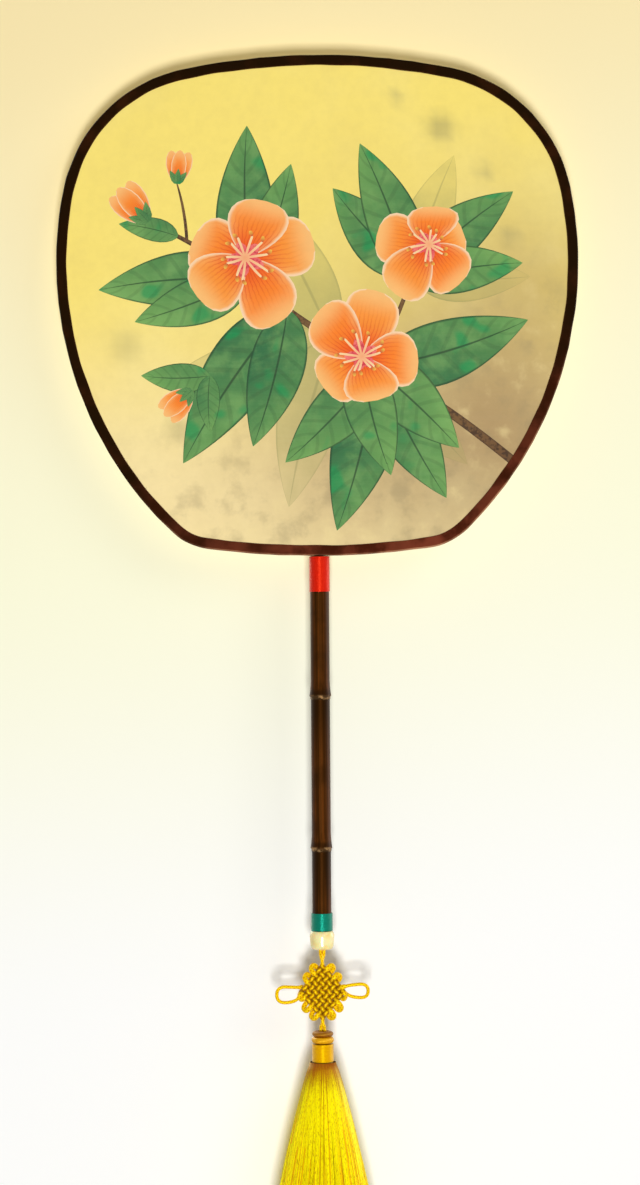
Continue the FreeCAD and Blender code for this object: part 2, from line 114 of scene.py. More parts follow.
# The hoop's outer outline, as in the part's source
widest_height = 146.5 * mm
top_radius = 330.0 * mm
shoulder_radius = 77.0 * mm
side_radius = 186.5 * mm
corner_radius = 32.5 * mm
bottom_radius = 405.0 * mm
binding_width = 5.3 * mm
binding_thickness = 0.5 * mm
binding_round = 0.9 * mm

# The tape's cut edge, its weave and the steps round the rim
binding_lip = 0.15 * mm
tape_thread = 0.7 * mm
rim_spacing = 2.2 * mm

# The handle's two nodes, as in the part's source
upper_node = 38.5 * mm
lower_node = -37.5 * mm

# The knot's route, as in the part's source
route_diameter = 1.35 * mm
strand_gap = 0.49 * mm
crossing_gap = 1.15 * mm
strands = 7
strand_angle = math.radians(39.2)
joint_gap = 0.3 * mm
knot_lead = 2.0 * mm
lower_loop_reaches = (2.7 * mm, 4.6 * mm, 4.2 * mm)
upper_loop_reaches = (4.0 * mm, 3.6 * mm)
ear_length = 12.4 * mm
ear_height = 8.4 * mm
ear_drop = 1.4 * mm
strand_offset = (route_diameter + strand_gap) / 2
link_step = route_diameter / 2 + joint_gap
knot_rise = (route_diameter + crossing_gap) / 2
knot_pitch = (2 * math.sqrt((route_diameter + strand_gap) ** 2 - knot_rise ** 2)
              / math.sin(2 * strand_angle))
knot_half_width = (strands - 1) * knot_pitch * math.sin(strand_angle)
knot_half_height = (strands - 1) * knot_pitch * math.cos(strand_angle)
knot_top = pivot_knot_top - link_step
knot_middle = knot_top - knot_lead - knot_half_height
knot_bottom = knot_middle - knot_half_height - knot_lead
down_right = Vector((math.sin(strand_angle), 0, -math.cos(strand_angle)))
down_left = Vector((-math.sin(strand_angle), 0, -math.cos(strand_angle)))

# The knot's two ears, which hang a little unlike each other: the height, the drop and the twist of each
first_ear = (ear_height, ear_drop, 0.3 * mm)
second_ear = (0.9 * ear_height, -0.3 * mm, 1.3 * mm)

# The knot's cord: round in its loops and links, pressed flat where it is woven
cord_diameter = 1.75 * mm
woven_width = 2.62 * mm
woven_depth = 1.45 * mm
weave_depth = 0.82 * mm
cord_sides = 14
braid_strands = 4
braid_lean = 0.9
link_bend = 0.7 * mm
link_swell = 1.2
bead_inside = 3.0 * mm

# The silk
silk_inset = 0.6 * mm
silk_thread = 0.5 * mm
slack_depth = 0.3 * mm
hem_spacing = 3.0 * mm

# The cut of the silk, in the painting's millimetres
grid_step = 5
motif_step = 2.5
wide_motif = 8
same_point = 1e-4

# Wound threads and the collar's rolls
thread_size = 0.42 * mm
floss_width = 0.66 * mm
winding_share = 0.92
turn_steps = 30
thread_sides = 10
thread_wander = 0.04 * mm
upper_roll_share = 0.42
upper_roll_reach = 0.95
roll_points = 18
roll_overlap = 0.2 * mm
roll_ribs = 40
roll_rib_depth = 0.06 * mm

# The tassel's yarn
strand_count = 2600
outer_strand_steps = 14
inner_strand_steps = 6
strand_sides = 4
strand_wave = 0.35 * mm
strand_inset = 0.5 * mm
core_points = 14
core_reach = 0.93
core_length = 0.94
core_wall = 2.0 * mm
core_axis = 0.2 * mm
head_gap = 0.1 * mm
head_middle_depth = 1.2 * mm
head_edge_depth = 1.6 * mm
core_ribs = 48
core_rib_depth = 0.12 * mm

# The fringe's outer line, as in the part's source
fringe_drops = (0.0, 3.6 * mm, 32.4 * mm, 63.0 * mm, 90.0 * mm)
fringe_radii = (5.75 * mm, 8.4 * mm, 15.75 * mm, 22.5 * mm, 27.0 * mm)
fringe_locks = 24


def ink(red, green, blue):
    """A colour as it looks on a screen, from 0 to 255, as the light values that shaders work in."""
    shares = (value / 255 for value in (red, green, blue))
    return tuple(share / 12.92 if share <= 0.04045 else ((share + 0.055) / 1.055) ** 2.4 for share in shares)


def between(share, first, second):
    """The colour at some share of the way from one colour to another."""
    return tuple(a + (b - a) * share for a, b in zip(first, second))


def eased(values, low, high):
    """Shares that rise smoothly from 0 at one value to 1 at another."""
    share = np.clip((values - low) / (high - low), 0.0, 1.0)
    return share * share * (3 - 2 * share)


# Shader building


class Wire:
    """A node's output. Arithmetic with it adds the nodes that work out the result."""

    def __init__(self, graph, socket):
        self.graph = graph
        self.socket = socket

    def math(self, operation, other=0.0):
        return self.graph.wire("Math", {0: self, 1: other}, operation=operation)

    __add__ = partialmethod(math, "ADD")
    __sub__ = partialmethod(math, "SUBTRACT")
    __mul__ = partialmethod(math, "MULTIPLY")
    __truediv__ = partialmethod(math, "DIVIDE")
    __abs__ = partialmethod(math, "ABSOLUTE")
    most = partialmethod(math, "MAXIMUM")

    def split(self):
        parts = self.graph.add("SeparateXYZ", {0: self}).outputs
        return [Wire(self.graph, part) for part in parts]

    def stretch(self, scale):
        return self.graph.wire("VectorMath", {0: self, 1: scale}, operation="MULTIPLY")

    def noise(self, scale, detail=3.0):
        """Soft noise between 0 and 1 at this place."""
        inputs = {"Vector": self, "Scale": scale, "Detail": detail, "Roughness": 0.55}
        return self.graph.wire("TexNoise", inputs, "Fac")

    def ramp(self, low, high, to_low=0.0, to_high=1.0):
        """A value that changes smoothly from to_low to to_high while this one goes from low to high."""
        inputs = {0: self, 1: low, 2: high, 3: to_low, 4: to_high}
        return self.graph.wire("MapRange", inputs, interpolation_type="SMOOTHSTEP")

    def ripple(self, period):
        """A wave between 0 and 1 that repeats with the given period."""
        return (self * (2 * math.pi / period)).math("SINE").ramp(-1.0, 1.0)

    def mix(self, first, second):
        """The first colour where this is 0 and the second one where it is 1."""
        first, second = (value if isinstance(value, Wire) else (*value, 1.0) for value in (first, second))
        return self.graph.wire("Mix", {0: self, 6: first, 7: second}, 2, data_type="RGBA")


class Graph:
    """A node tree, with short calls that add nodes to it."""

    def __init__(self, tree):
        self.tree = tree

    def put(self, socket, value):
        """Links a socket to a wire, or sets its own value."""
        if isinstance(value, Wire):
            self.tree.links.new(value.socket, socket)
        else:
            socket.default_value = value

    def add(self, kind, inputs, **settings):
        made = self.tree.nodes.new("ShaderNode" + kind)
        for key, value in settings.items():
            setattr(made, key, value)
        for key, value in inputs.items():
            self.put(made.inputs[key], value)
        return made

    def wire(self, kind, inputs, output=0, **settings):
        return Wire(self, self.add(kind, inputs, **settings).outputs[output])

    def watching_rays(self):
        """1 for the rays that show the background: the camera's own and those in gloss and in glass."""
        rays = self.add("LightPath", {}).outputs
        camera, glossy, clear = (Wire(self, rays["Is %s Ray" % kind])
                                 for kind in ("Camera", "Glossy", "Transmission"))
        return camera.most(glossy.most(clear))


class Shader(Graph):
    """A material's tree round one surface, whose uniform values are set on its own sockets."""

    def __init__(self, name, uniform):
        self.material = bpy.data.materials.new(name)
        self.material.use_nodes = True
        super().__init__(self.material.node_tree)
        self.surface = self.tree.nodes["Principled BSDF"]
        for key, value in uniform.items():
            self.put(self.surface.inputs[key], value)
        self.place = self.wire("TexCoord", {}, "Object")

    def attribute(self, name, output="Fac"):
        return self.wire("Attribute", {}, output, attribute_name=name)

    def thread(self):
        """The turn round a tube and the length along it."""
        return self.wire("UVMap", {}, uv_map="thread").split()[:2]

    def bump(self, height, strength, distance):
        inputs = {"Height": height, "Strength": strength, "Distance": distance}
        self.put(self.surface.inputs["Normal"], self.wire("Bump", inputs))

    def finish(self, colour, roughness=None):
        self.put(self.surface.inputs["Base Color"], colour)
        if roughness is not None:
            self.put(self.surface.inputs["Roughness"], roughness)
        return self.material


def satin(roughness, tint):
    """Uniform values of silk and rayon: a tinted gloss and a faint sheen."""
    return {"Roughness": roughness, "IOR": 1.7, "Specular IOR Level": 0.95, "Specular Tint": (*tint, 1.0),
            "Sheen Weight": 0.04, "Sheen Roughness": 0.4, "Sheen Tint": (*tint, 1.0)}


# Mesh building


def add_piece(name, verts, faces, materials):
    """A smooth mesh object from points and faces."""
    mesh = bpy.data.meshes.new(name)
    mesh.from_pydata([tuple(map(float, v)) for v in verts], [], [tuple(map(int, f)) for f in faces])
    mesh.update()
    mesh.shade_smooth()
    piece = bpy.data.objects.new(name, mesh)
    bpy.context.scene.collection.objects.link(piece)
    for material in materials:
        mesh.materials.append(material)
    return piece


def add_values(piece, name, values, domain="POINT"):
    """Gives each point or face corner of a piece a value that shaders can read."""
    piece.data.attributes.new(name, "FLOAT", domain).data.foreach_set("value", values)


def dress(piece, body, nodes):
    """Puts a rigid piece on its body, in place of its CAD nodes, which it hides."""
    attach(piece, body)
    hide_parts(*nodes)


def grid_faces(rows, columns, closed_rows=True, closed_columns=True, start=0):
    """Faces between neighbours in rows of points, where the last row or column may meet the first."""
    faces = []
    for row in range(rows if closed_rows else rows - 1):
        here = start + row * columns
        there = start + (row + 1) % rows * columns
        for column in range(columns if closed_columns else columns - 1):
            beside = (column + 1) % columns
            faces.append((here + column, here + beside, there + beside, there + column))
    return faces


def unit_rows(rows):
    return rows / np.linalg.norm(rows, axis=1)[:, None]


def around(angles):
    """Level directions at some angles round the handle's axis."""
    return np.stack([np.cos(angles), np.sin(angles), np.zeros(len(angles))], axis=1)


def laid_sides(points, out):
    """Two directions across a path that lies on something: along its surface and out from it."""
    tangents = unit_rows(np.gradient(points, axis=0))
    across = unit_rows(np.cross(out, tangents))
    return across, np.cross(tangents, across)


def carried_sides(points):
    """Two directions across a path at each of its points, carried along without twist."""
    tangents = unit_rows(np.gradient(points, axis=0))
    off_any_path = (0.31, 0.52, 0.79)
    first = np.cross(tangents[0], off_any_path)
    sides = [first / np.linalg.norm(first)]
    for tangent in tangents[1:]:
        side = sides[-1] - tangent * sides[-1].dot(tangent)
        sides.append(side / np.linalg.norm(side))
    sides = np.array(sides)
    return sides, np.cross(tangents, sides)


def add_tube(name, points, widths, depths, sides, directions, material):
    """A capped oval tube along a path. Its UV map holds the turn round it and the length along it."""
    across, over = (rows * np.broadcast_to(size, len(points))[:, None] / 2
                    for rows, size in zip(directions, (widths, depths)))
    angles = 2 * np.pi * np.arange(sides) / sides
    rings = (points[:, None, :] + across[:, None, :] * np.cos(angles)[None, :, None]
             + over[:, None, :] * np.sin(angles)[None, :, None])
    lengths = np.concatenate([[0], np.cumsum(np.linalg.norm(np.diff(points, axis=0), axis=1))])
    faces = grid_faces(len(points), sides, closed_rows=False)
    thread = []
    for corner, _, _, above in faces:
        turn, after = corner % sides / sides, (corner % sides + 1) / sides
        low, high = lengths[corner // sides], lengths[above // sides]
        thread += [turn, low, after, low, after, high, turn, high]
    end = (len(points) - 1) * sides
    for cap, length in ((range(sides)[::-1], 0.0), (range(end, end + sides), lengths[-1])):
        faces.append(tuple(cap))
        for k in range(sides):
            thread += [k / sides, length]
    piece = add_piece(name, rings.reshape(-1, 3), faces, [material])
    piece.data.uv_layers.new(name="thread").data.foreach_set("uv", thread)
    return piece


def smooth_line(points):
    """Points along the smooth NURBS line that has the given control points."""
    curve = bpy.data.curves.new("route", "CURVE")
    curve.dimensions = "3D"
    curve.resolution_u = 8
    spline = curve.splines.new("NURBS")
    spline.points.add(len(points) - 1)
    for target, point in zip(spline.points, points):
        target.co = (*point, 1.0)
    spline.order_u = 3
    spline.use_endpoint_u = True
    holder = bpy.data.objects.new("route", curve)
    bpy.context.scene.collection.objects.link(holder)
    line = bpy.data.meshes.new_from_object(holder)
    found = np.array([vertex.co for vertex in line.vertices], float)
    bpy.data.objects.remove(holder)
    bpy.data.curves.remove(curve)
    bpy.data.meshes.remove(line)
    return found


# Camera


def make_camera():
    data = bpy.data.cameras.new("camera")
    data.sensor_width = sensor_width
    data.lens = sensor_width * camera_distance / (photo_height * metres_per_pixel)
    camera = bpy.data.objects.new("camera", data)
    camera.location = (view_middle_x, -camera_distance, view_middle_z)
    camera.rotation_euler = Euler((math.pi / 2, view_roll, 0))
    bpy.context.scene.collection.objects.link(camera)
    bpy.context.scene.camera = camera


# The knot


def cord_material():
    """Satin cord with a fine braid: painted highlights on its crowns, painted shade in its furrows, and
    painted shade where the weave lies low and at the cord's sides.
    """
    shader = Shader("gold_cord", satin(0.3, ink(255, 194, 30)))
    turn, along = shader.thread()
    advance = along / cord_diameter
    one, other = ((turn * braid_strands + advance * lean).ripple(1.0) for lean in (braid_lean, -braid_lean))
    height = one.most(other) * shader.place.noise(900.0).ramp(0.2, 0.8, 0.75, 1.0)
    shader.bump(height, 0.55, 0.12 * mm)
    # Painted highlight and shade: the braid's crowns are coloured bright and its furrows deep.
    colour = height.mix(ink(214, 132, 0), ink(255, 222, 10))
    # Painted shade in the weave's low places and along the cord's sides.
    return shader.finish((shader.attribute("pressed") * 0.92).mix(colour, ink(98, 28, 0)))


gold_cord = cord_material()


def crest(strand, crossing):
    """The control point where a strand passes over or under its crossing."""
    middle = (strands + 1) / 2
    point = Vector((0, 0, knot_middle))
    point += down_right * ((crossing - middle) * knot_pitch)
    point += down_left * ((strand - middle) * knot_pitch)
    point.y = 2 * weave_depth * (-1 if (strand + crossing) % 2 == 0 else 1)
    return point


def ear_points(height, drop, twist):
    """Control points of the large loop at the knot's side corner, narrower where it leaves the weave."""
    half = height / 2
    root_reach = 1.3 * half
    root_half = 0.85 * half
    centre = Vector((half - knot_half_width - ear_length, 0, knot_middle - drop))
    corners = ((root_reach, twist, root_half), (-half, twist, half), (-half, -twist, -half),
               (root_reach, -twist, -root_half))
    return [centre + Vector(corner) for corner in corners]


def knot_route(ear):
    """Control points of one half of the knot: every strand, loop and ear from the top to the bottom."""
    there = list(range(1, strands + 1))
    lower = list(lower_loop_reaches)
    upper = list(upper_loop_reaches)
    lead = Vector((0, 0, knot_lead / 2))
    entry = Vector((0, -strand_offset, knot_top))
    leave = Vector((0, -strand_offset, knot_bottom))
    route = [entry, entry - lead]
    for strand in there:
        down = strand % 2 == 1
        heading = down_right if down else -down_right
        crossings = there if down else there[::-1]
        route += [crest(strand, crossing) for crossing in crossings]
        start = crest(strand, crossings[-1])
        end = crest(strand + 1, crossings[-1])
        start.y = 0.5 * start.y
        end.y = 0.5 * end.y
        if strand == strands - 1:
            route += ear_points(*ear)
        elif strand < strands:
            reach = lower.pop(0) if down else upper.pop(0)
            route += [start + heading * reach, end + heading * reach]
    return route + [leave + lead, leave]


def half_turn(points):
    """The same points turned by half a turn about the handle's axis."""
    return [Vector((-point[0], -point[1], point[2])) for point in points]


def weave_shares(line):
    """How round the cord is along its line, and the painted shade at each point round it: darker where the
    weave lies low and at the cord's sides.
    """
    past_side = np.abs(line[:, 0]) / knot_half_width
    past_end = np.abs(line[:, 2] - knot_middle) / knot_half_height
    loose = eased(np.maximum(past_side, past_end), 1.0, 1.16)
    woven = 1 - eased(past_side + past_end, 1.0, 1.12)
    # Painted shade: deep where the weave lies low, and at the cord's sides.
    low = 1 - eased(np.abs(line[:, 1]) / weave_depth, 0.1, 0.75)
    edge = eased(np.abs(np.cos(2 * np.pi * np.arange(cord_sides) / cord_sides)), 0.12, 0.68)
    return loose, woven[:, None] * np.maximum(low[:, None], 0.85 * edge[None, :])


def make_knot():
    routes = (("knot_cord_one", "knot_cord_front", knot_route(first_ear)),
              ("knot_cord_two", "knot_cord_back", half_turn(knot_route(second_ear))))
    for name, node, route in routes:
        line = smooth_line(route)
        loose, pressed = weave_shares(line)
        widths = woven_width + (cord_diameter - woven_width) * loose
        depths = woven_depth + (cord_diameter - woven_depth) * loose
        piece = add_tube(name, line, widths, depths, cord_sides, laid_sides(line, (0, -1, 0)), gold_cord)
        # The painted shade of the weave, read by the cord's material.
        add_values(piece, "pressed", pressed.ravel())
        dress(piece, "knot", (node,))


# Cord links at the pendant's four pivots


def make_link_pair(route, split, plans):
    """Two strands along a route and its half turn, each in two lengths that overlap where they meet."""
    for k, points in enumerate((route, half_turn(route))):
        line = smooth_line(points)
        upper = line[line[:, 2] > split - link_bend / 2]
        lower = line[line[:, 2] < split + link_bend / 2]
        for part, (name, pivot, bodies, nodes) in zip((upper, lower), plans):
            piece = add_tube("%s_%d" % (name, k + 1), part, cord_diameter, cord_diameter, cord_sides,
                             carried_sides(part), gold_cord)
            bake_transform(piece)
            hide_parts(*nodes[k])


def make_links():
    """The strands from bead to knot and from knot to tassel, which turn a quarter round each other."""
    off = strand_offset
    diagonal = link_swell * off * math.sqrt(0.5)
    hanger_middle = (pivot_bead + pivot_knot_top) / 2
    tail_middle = (pivot_knot_bottom + pivot_tassel) / 2
    hanger = ((-off, 0, bead_low.z + bead_inside), (-off, 0, pivot_bead),
              (-diagonal, -diagonal, hanger_middle),
              (0, -off, pivot_knot_top), (0, -off, knot_top - link_step))
    tail = ((0, -off, knot_bottom + link_step), (0, -off, pivot_knot_bottom),
            (diagonal, -diagonal, tail_middle),
            (off, 0, pivot_tassel), (off, 0, collar_low.z))
    make_link_pair(hanger, hanger_middle, (
        ("bead_link", pivot_bead, ("handle", "hanger"),
         (("anchor_cord", "hanger_cord_left"), ("anchor_cord", "hanger_cord_right"))),
        ("knot_link", pivot_knot_top, ("hanger", "knot"), (("hanger_cord_left",), ("hanger_cord_right",))),
    ))
    make_link_pair(tail, tail_middle, (
        ("tail_link", pivot_knot_bottom, ("knot", "tail"), (("tail_cord_front",), ("tail_cord_back",))),
        ("tassel_link", pivot_tassel, ("tail", "tassel"),
         (("tail_cord_front", "tassel_cord_right"), ("tail_cord_back", "tassel_cord_left"))),
    ))


# Thread windings


def thread_material(name, bright, deep, sheen):
    """Floss silk thread: fine twist along it and a satin gloss, with painted highlights on the twist's
    ridges and painted shade in its grooves.
    """
    shader = Shader(name, satin(0.28, sheen))
    turn, along = shader.thread()
    fibre = (turn * 3.0 + along / thread_size).ripple(1.0)
    streak = shader.place.stretch((400.0, 400.0, 2500.0)).noise(1.0)
    shader.bump(fibre, 0.35, 0.03 * mm)
    # Painted light: the bright colour on the twist's ridges is a painted highlight, the deep colour in its
    # grooves painted shade.
    return shader.finish((fibre * streak.ramp(0.25, 0.75, 0.6, 1.0)).mix(deep, bright))


def make_winding(name, low, high, body, nodes, slot, colours):
    """One thread wound closely round its core, from end to end of the node that it stands for."""
    radius = high.x - thread_size / 2
    turns = int((high.z - low.z) / (winding_share * thread_size))
    angles = 2 * np.pi * np.arange(turns * turn_steps + 1) / turn_steps + np.pi / 2
    out = around(angles)
    wander = thread_wander * np.sin(angles * 0.37) * np.sin(angles * 0.11)
    points = out * (radius + wander)[:, None]
    points[:, 2] = np.linspace(low.z + floss_width / 2, high.z - floss_width / 2, len(angles))
    material = thread_material(slot, *colours)
    piece = add_tube(name, points, floss_width, thread_size, thread_sides, laid_sides(points, out), material)
    dress(piece, body, nodes)


def make_windings():
    """The handle's two wraps and the tassel's neck, each in a bright colour for painted highlights, a deep
    colour for painted shade and a gloss colour.
    """
    make_winding("red_wrap", top_wrap_low, top_wrap_high, "handle",
                 ("top_wrap_underlay", "top_wrap_turns"), "red_thread",
                 (ink(240, 26, 4), ink(180, 2, 0), ink(255, 90, 50)))
    make_winding("teal_wrap", end_wrap_low, end_wrap_high, "handle",
                 ("end_wrap_underlay", "end_wrap_turns"), "teal_thread",
                 (ink(0, 100, 74), ink(0, 46, 32), ink(60, 255, 220)))
    make_winding("neck_wrap", neck_low, neck_high, "tassel", ("tassel_neck_turns",), "neck_thread",
                 (ink(255, 206, 0), ink(200, 112, 0), ink(255, 230, 20)))


# The tassel


def lathe(profile, ribs, rib_depth):
    """Points and faces of a closed profile turned round the handle's axis, with ribs along it."""
    verts = []
    segments = 3 * ribs
    for angle in 2 * np.pi * np.arange(segments) / segments:
        depth = rib_depth * math.cos(ribs * angle)
        verts += [((radius + depth) * math.cos(angle), (radius + depth) * math.sin(angle), height)
                  for radius, height in profile]
    return verts, grid_faces(segments, len(profile))


def roll_profile(inner, outer, low, high):
    """A closed ring section with a full, round-shouldered outer side."""
    turns = [math.pi * (k + 0.5) / roll_points for k in range(roll_points)]
    return [(inner + (outer - inner) * math.sin(turn) ** 0.5,
             (low + high) / 2 - (high - low) / 2 * math.cos(turn)) for turn in turns]


def collar_material(name, bright, deep):
    """Thread rolled over a ring: close ribs with soft furrows, painted bright on the ribs as highlights and
    deep in the furrows as shade.
    """
    shader = Shader(name, satin(0.32, ink(255, 216, 70)))
    x, y, z = shader.place.split()
    rib = (y.math("ARCTAN2", x) + z * 60.0).ripple(2 * math.pi / 60)
    tone = rib * shader.place.noise(1400.0).ramp(0.25, 0.75, 0.6, 1.0)
    shader.bump(tone, 0.6, 0.12 * mm)
    # Painted light: the ribs are coloured bright and the furrows deep.
    return shader.finish(tone.mix(deep, bright))


def make_collar():
    """Two rolled rings round the tassel's head: a dark upper one, whose dark colours are painted shadow, and
    a bright lower one.
    """
    outer = collar_high.x
    split = collar_high.z - upper_roll_share * (collar_high.z - collar_low.z)
    inner = strand_offset + cord_diameter / 2
    # The upper roll's dark colours are painted shadow from the knot above it.
    dark = collar_material("collar_dark", ink(168, 84, 2), ink(92, 30, 0))
    light = collar_material("collar_bright", ink(255, 208, 10), ink(206, 118, 0))
    rings = (("collar_lower_roll", outer, collar_low.z, split, light),
             ("collar_upper_roll", upper_roll_reach * outer, split - roll_overlap, collar_high.z, dark))
    for name, reach, low, high, material in rings:
        verts, faces = lathe(roll_profile(inner, reach, low, high), roll_ribs, roll_rib_depth)
        dress(add_piece(name, verts, faces, [material]), "tassel", ("tassel_collar",))


def yarn_material(name, bright, deep, fleck, shadow):
    """Rayon yarn: each strand has its own tone, with fine dark flecks of painted shade along its kinks, and
    painted shade deeper towards the tie.
    """
    shader = Shader(name, satin(0.32, ink(255, 228, 50)))
    height = shader.place.split()[2]
    tone = shader.attribute("strand_tone")
    fibre = shader.place.stretch((2600.0, 2600.0, 120.0)).noise(1.0)
    crinkle_shade = shader.place.stretch((2500.0, 2500.0, 300.0)).noise(1.0, 2.0)
    colour = (tone + fibre).ramp(0.15, 0.95).mix(deep, bright)
    # Painted shade: dark flecks where the yarn kinks.
    colour = crinkle_shade.ramp(0.32, 0.47, 0.65, 0.0).mix(colour, fleck)
    uneven = (fibre - tone) * (9 * mm)
    # Painted shade under the tie, where the strands gather below the neck.
    painted_tie_shade = (height + uneven).ramp(neck_low.z - 18 * mm, neck_low.z - 2 * mm)
    shader.bump(fibre, 0.3, 0.05 * mm)
    return shader.finish(painted_tie_shade.mix(colour, shadow))


def fringe_radius(drops):
    """The fringe's outer radius at some drops below the neck, with the corners of its line rounded off."""
    steps = np.linspace(-4, 4, 9) * mm
    rows = [np.interp(np.asarray(drops) + step, fringe_drops, fringe_radii) for step in steps]
    return np.mean(rows, axis=0)


def make_fringe(material):
    """Some thousand strands of yarn, gathered loosely into locks: every other one fills the bundle."""
    verts, faces, tones = [], [], []
    lock_angle = 2 * np.pi / fringe_locks
    for k in range(strand_count):
        angle = 2 * np.pi * (k + draw(-0.6, 0.6)) / strand_count
        inner = k % 2 == 0
        steps = inner_strand_steps if inner else outer_strand_steps
        shares = np.linspace(0, 1, steps) ** 1.15
        fill = math.sqrt(draw(0.004, 0.8)) if inner else draw(0.94, 1.015)
        lock = (np.floor(angle / lock_angle) + 0.5) * lock_angle
        gather = draw(0.1, 0.45)
        sway = draw(-0.05, 0.05)
        drops = fringe_drops[-1] * draw(0.965, 1.0) * shares
        wave = strand_wave * np.sin(shares * draw(4, 9) + draw(0, 6)) * shares
        reach = fringe_radius(drops) * (1 - (1 - fill) * np.sqrt(shares)) - strand_inset + wave
        turned = angle + (lock - angle) * gather * shares + sway * shares * (1 - shares)
        out = around(turned)
        side = np.cross((0, 0, 1), out)
        centre = out * reach[:, None]
        centre[:, 2] = neck_low.z - drops
        width = draw(0.7, 0.95) * mm if inner else draw(0.42, 0.6) * mm
        half = width / 2 * (1 - 0.35 * shares ** 6)
        start = len(verts)
        for corner in range(strand_sides):
            turn = 2 * np.pi * corner / strand_sides
            verts.extend((centre + half[:, None] * (out * math.cos(turn) + side * math.sin(turn))).tolist())
        faces += grid_faces(strand_sides, steps, closed_columns=False, start=start)
        top_ring = range(start, len(verts), steps)
        faces.append(tuple(top_ring))
        faces.append(tuple(point + steps - 1 for point in reversed(top_ring)))
        tone = draw(0.3, 1.0)
        dark = draw() < 0.2
        tones.extend([-0.4 if dark else tone] * (steps * strand_sides))
    piece = add_piece("tassel_fringe", verts, faces, [material])
    add_values(piece, "strand_tone", tones)
    return piece


def make_tassel():
    """The yarn: a core from the collar down, hollow under the neck, in darker colours as painted shade
    inside the tassel, and the fringe's strands round it.
    """
    # The last two colours of each yarn are the painted shade of its flecks and under the tie.
    yarn = yarn_material("tassel_yarn", ink(255, 242, 0), ink(236, 172, 0), ink(168, 104, 0),
                         ink(152, 44, 0))
    # A darker copy of the yarn for the core: painted shade inside the tassel.
    inside = yarn_material("tassel_inside", ink(214, 150, 6), ink(140, 84, 2), ink(110, 60, 0),
                           ink(96, 44, 0))
    neck = neck_high.x - thread_size
    head = strand_offset + cord_diameter / 2 - head_gap
    drops = np.linspace(2 * mm, core_length * fringe_drops[-1], core_points)
    outside = [(float(core_reach * radius), float(neck_low.z - drop))
               for radius, drop in zip(fringe_radius(drops), drops)]
    hollow = [(max(radius - core_wall, head), height) for radius, height in reversed(outside[3:])]
    profile = [(core_axis, hollow[-1][1]), (core_axis, collar_high.z - head_middle_depth),
               (head, collar_high.z - head_edge_depth), (head, collar_low.z),
               (neck, neck_high.z), (neck, neck_low.z)]
    verts, faces = lathe(profile + outside + hollow, core_ribs, core_rib_depth)
    core = add_piece("tassel_core", verts, faces, [inside])
    add_values(core, "strand_tone", [0.5] * len(verts))
    for piece in (core, make_fringe(yarn)):
        dress(piece, "tassel", ("tassel_yarn",))


# The rim's outline


def circle_meeting(first, first_reach, second, second_reach):
    """The point at the given distances from two centres, to the right of the line between them."""
    line = second - first
    span = line.length
    along = (first_reach ** 2 - second_reach ** 2 + span ** 2) / (2 * span)
    across = math.sqrt(first_reach ** 2 - along ** 2)
    unit = line / span
    return first + unit * along - Vector((-unit.y, unit.x)) * across


def outline(spacing):
    """Points round the rim's outer outline, clockwise from the top, and the outward direction at each."""
    top = Vector((0, rim_high.z - top_radius))
    bottom = Vector((0, rim_low.z + bottom_radius))
    side = Vector((face_width / 2 - side_radius, rim_low.z + widest_height))
    shoulder = circle_meeting(top, top_radius - shoulder_radius, side, side_radius - shoulder_radius)
    corner = circle_meeting(side, side_radius - corner_radius, bottom, bottom_radius - corner_radius)
    joins = (Vector((0, 1)), shoulder - top, shoulder - side, corner - side, corner - bottom,
             Vector((0, -1)))
    turns = [math.atan2(join.y, join.x) for join in joins]
    centres = (top, shoulder, side, corner, bottom)
    radii = (top_radius, shoulder_radius, side_radius, corner_radius, bottom_radius)
    right, outward = [], []
    for centre, radius, start, end in zip(centres, radii, turns, turns[1:]):
        count = max(2, round(radius * (start - end) / spacing))
        for k in range(count):
            angle = start + (end - start) * k / count
            out = Vector((math.cos(angle), math.sin(angle)))
            right.append(centre + out * radius)
            outward.append(out)
    right.append(Vector((0, rim_low.z)))
    outward.append(Vector((0, -1)))
    return [half + [Vector((-row.x, row.y)) for row in reversed(half[1:-1])] for half in (right, outward)]


# The edge binding


def binding_material():
    """Dark lacquered cloth tape, redder towards the lower right, rubbed paler at its edges, with a painted
    highlight along its low outer fold.
    """
    shader = Shader("binding_tape", {"Specular IOR Level": 0.12, "Specular Tint": (*ink(190, 120, 70), 1.0)})
    place = shader.place
    x, _, z = place.split()
    grain = place.noise(1500.0, 2.0)
    patch = place.noise(64.0, 4.0)
    fall = x * 0.35 - z + place.noise(45.0) * 0.09
    red_share = fall.ramp(-rim_low.z - 40 * mm, -rim_low.z + 95 * mm)
    faded = patch.ramp(0.36, 0.66).mix(ink(70, 25, 12), ink(136, 64, 44))
    colour = red_share.mix(ink(18, 9, 2), faded)
    colour = patch.ramp(0.5, 0.74, 0.0, 0.35).mix(colour, ink(66, 32, 14))
    worn = shader.attribute("tape_edge") * grain.ramp(0.4, 0.65, 0.1, 0.75)
    colour = worn.mix(colour, ink(104, 62, 34))
    # Painted highlight along the tape's rounded outer fold, most towards the lower right.
    fold = shader.attribute("tape_fold") * patch.ramp(0.34, 0.6, 0.15, 0.8)
    colour = (fold * red_share).mix(colour, ink(206, 152, 112))
    weave = (x + z).ripple(tape_thread) + (x - z).ripple(tape_thread)
    shader.bump(weave + grain, 0.3, 0.06 * mm)
    return shader.finish(colour, grain.ramp(0.2, 0.8, 0.42, 0.62))


def slow_wander(count, waves, amount):
    """A closed row of offsets that wander slowly, made from a few waves."""
    turns = 2 * np.pi * np.arange(count) / count
    row = np.zeros(count)
    for wave in waves:
        row += np.sin(wave * turns + draw(0, 2 * np.pi))
    return amount * row / math.sqrt(len(waves))


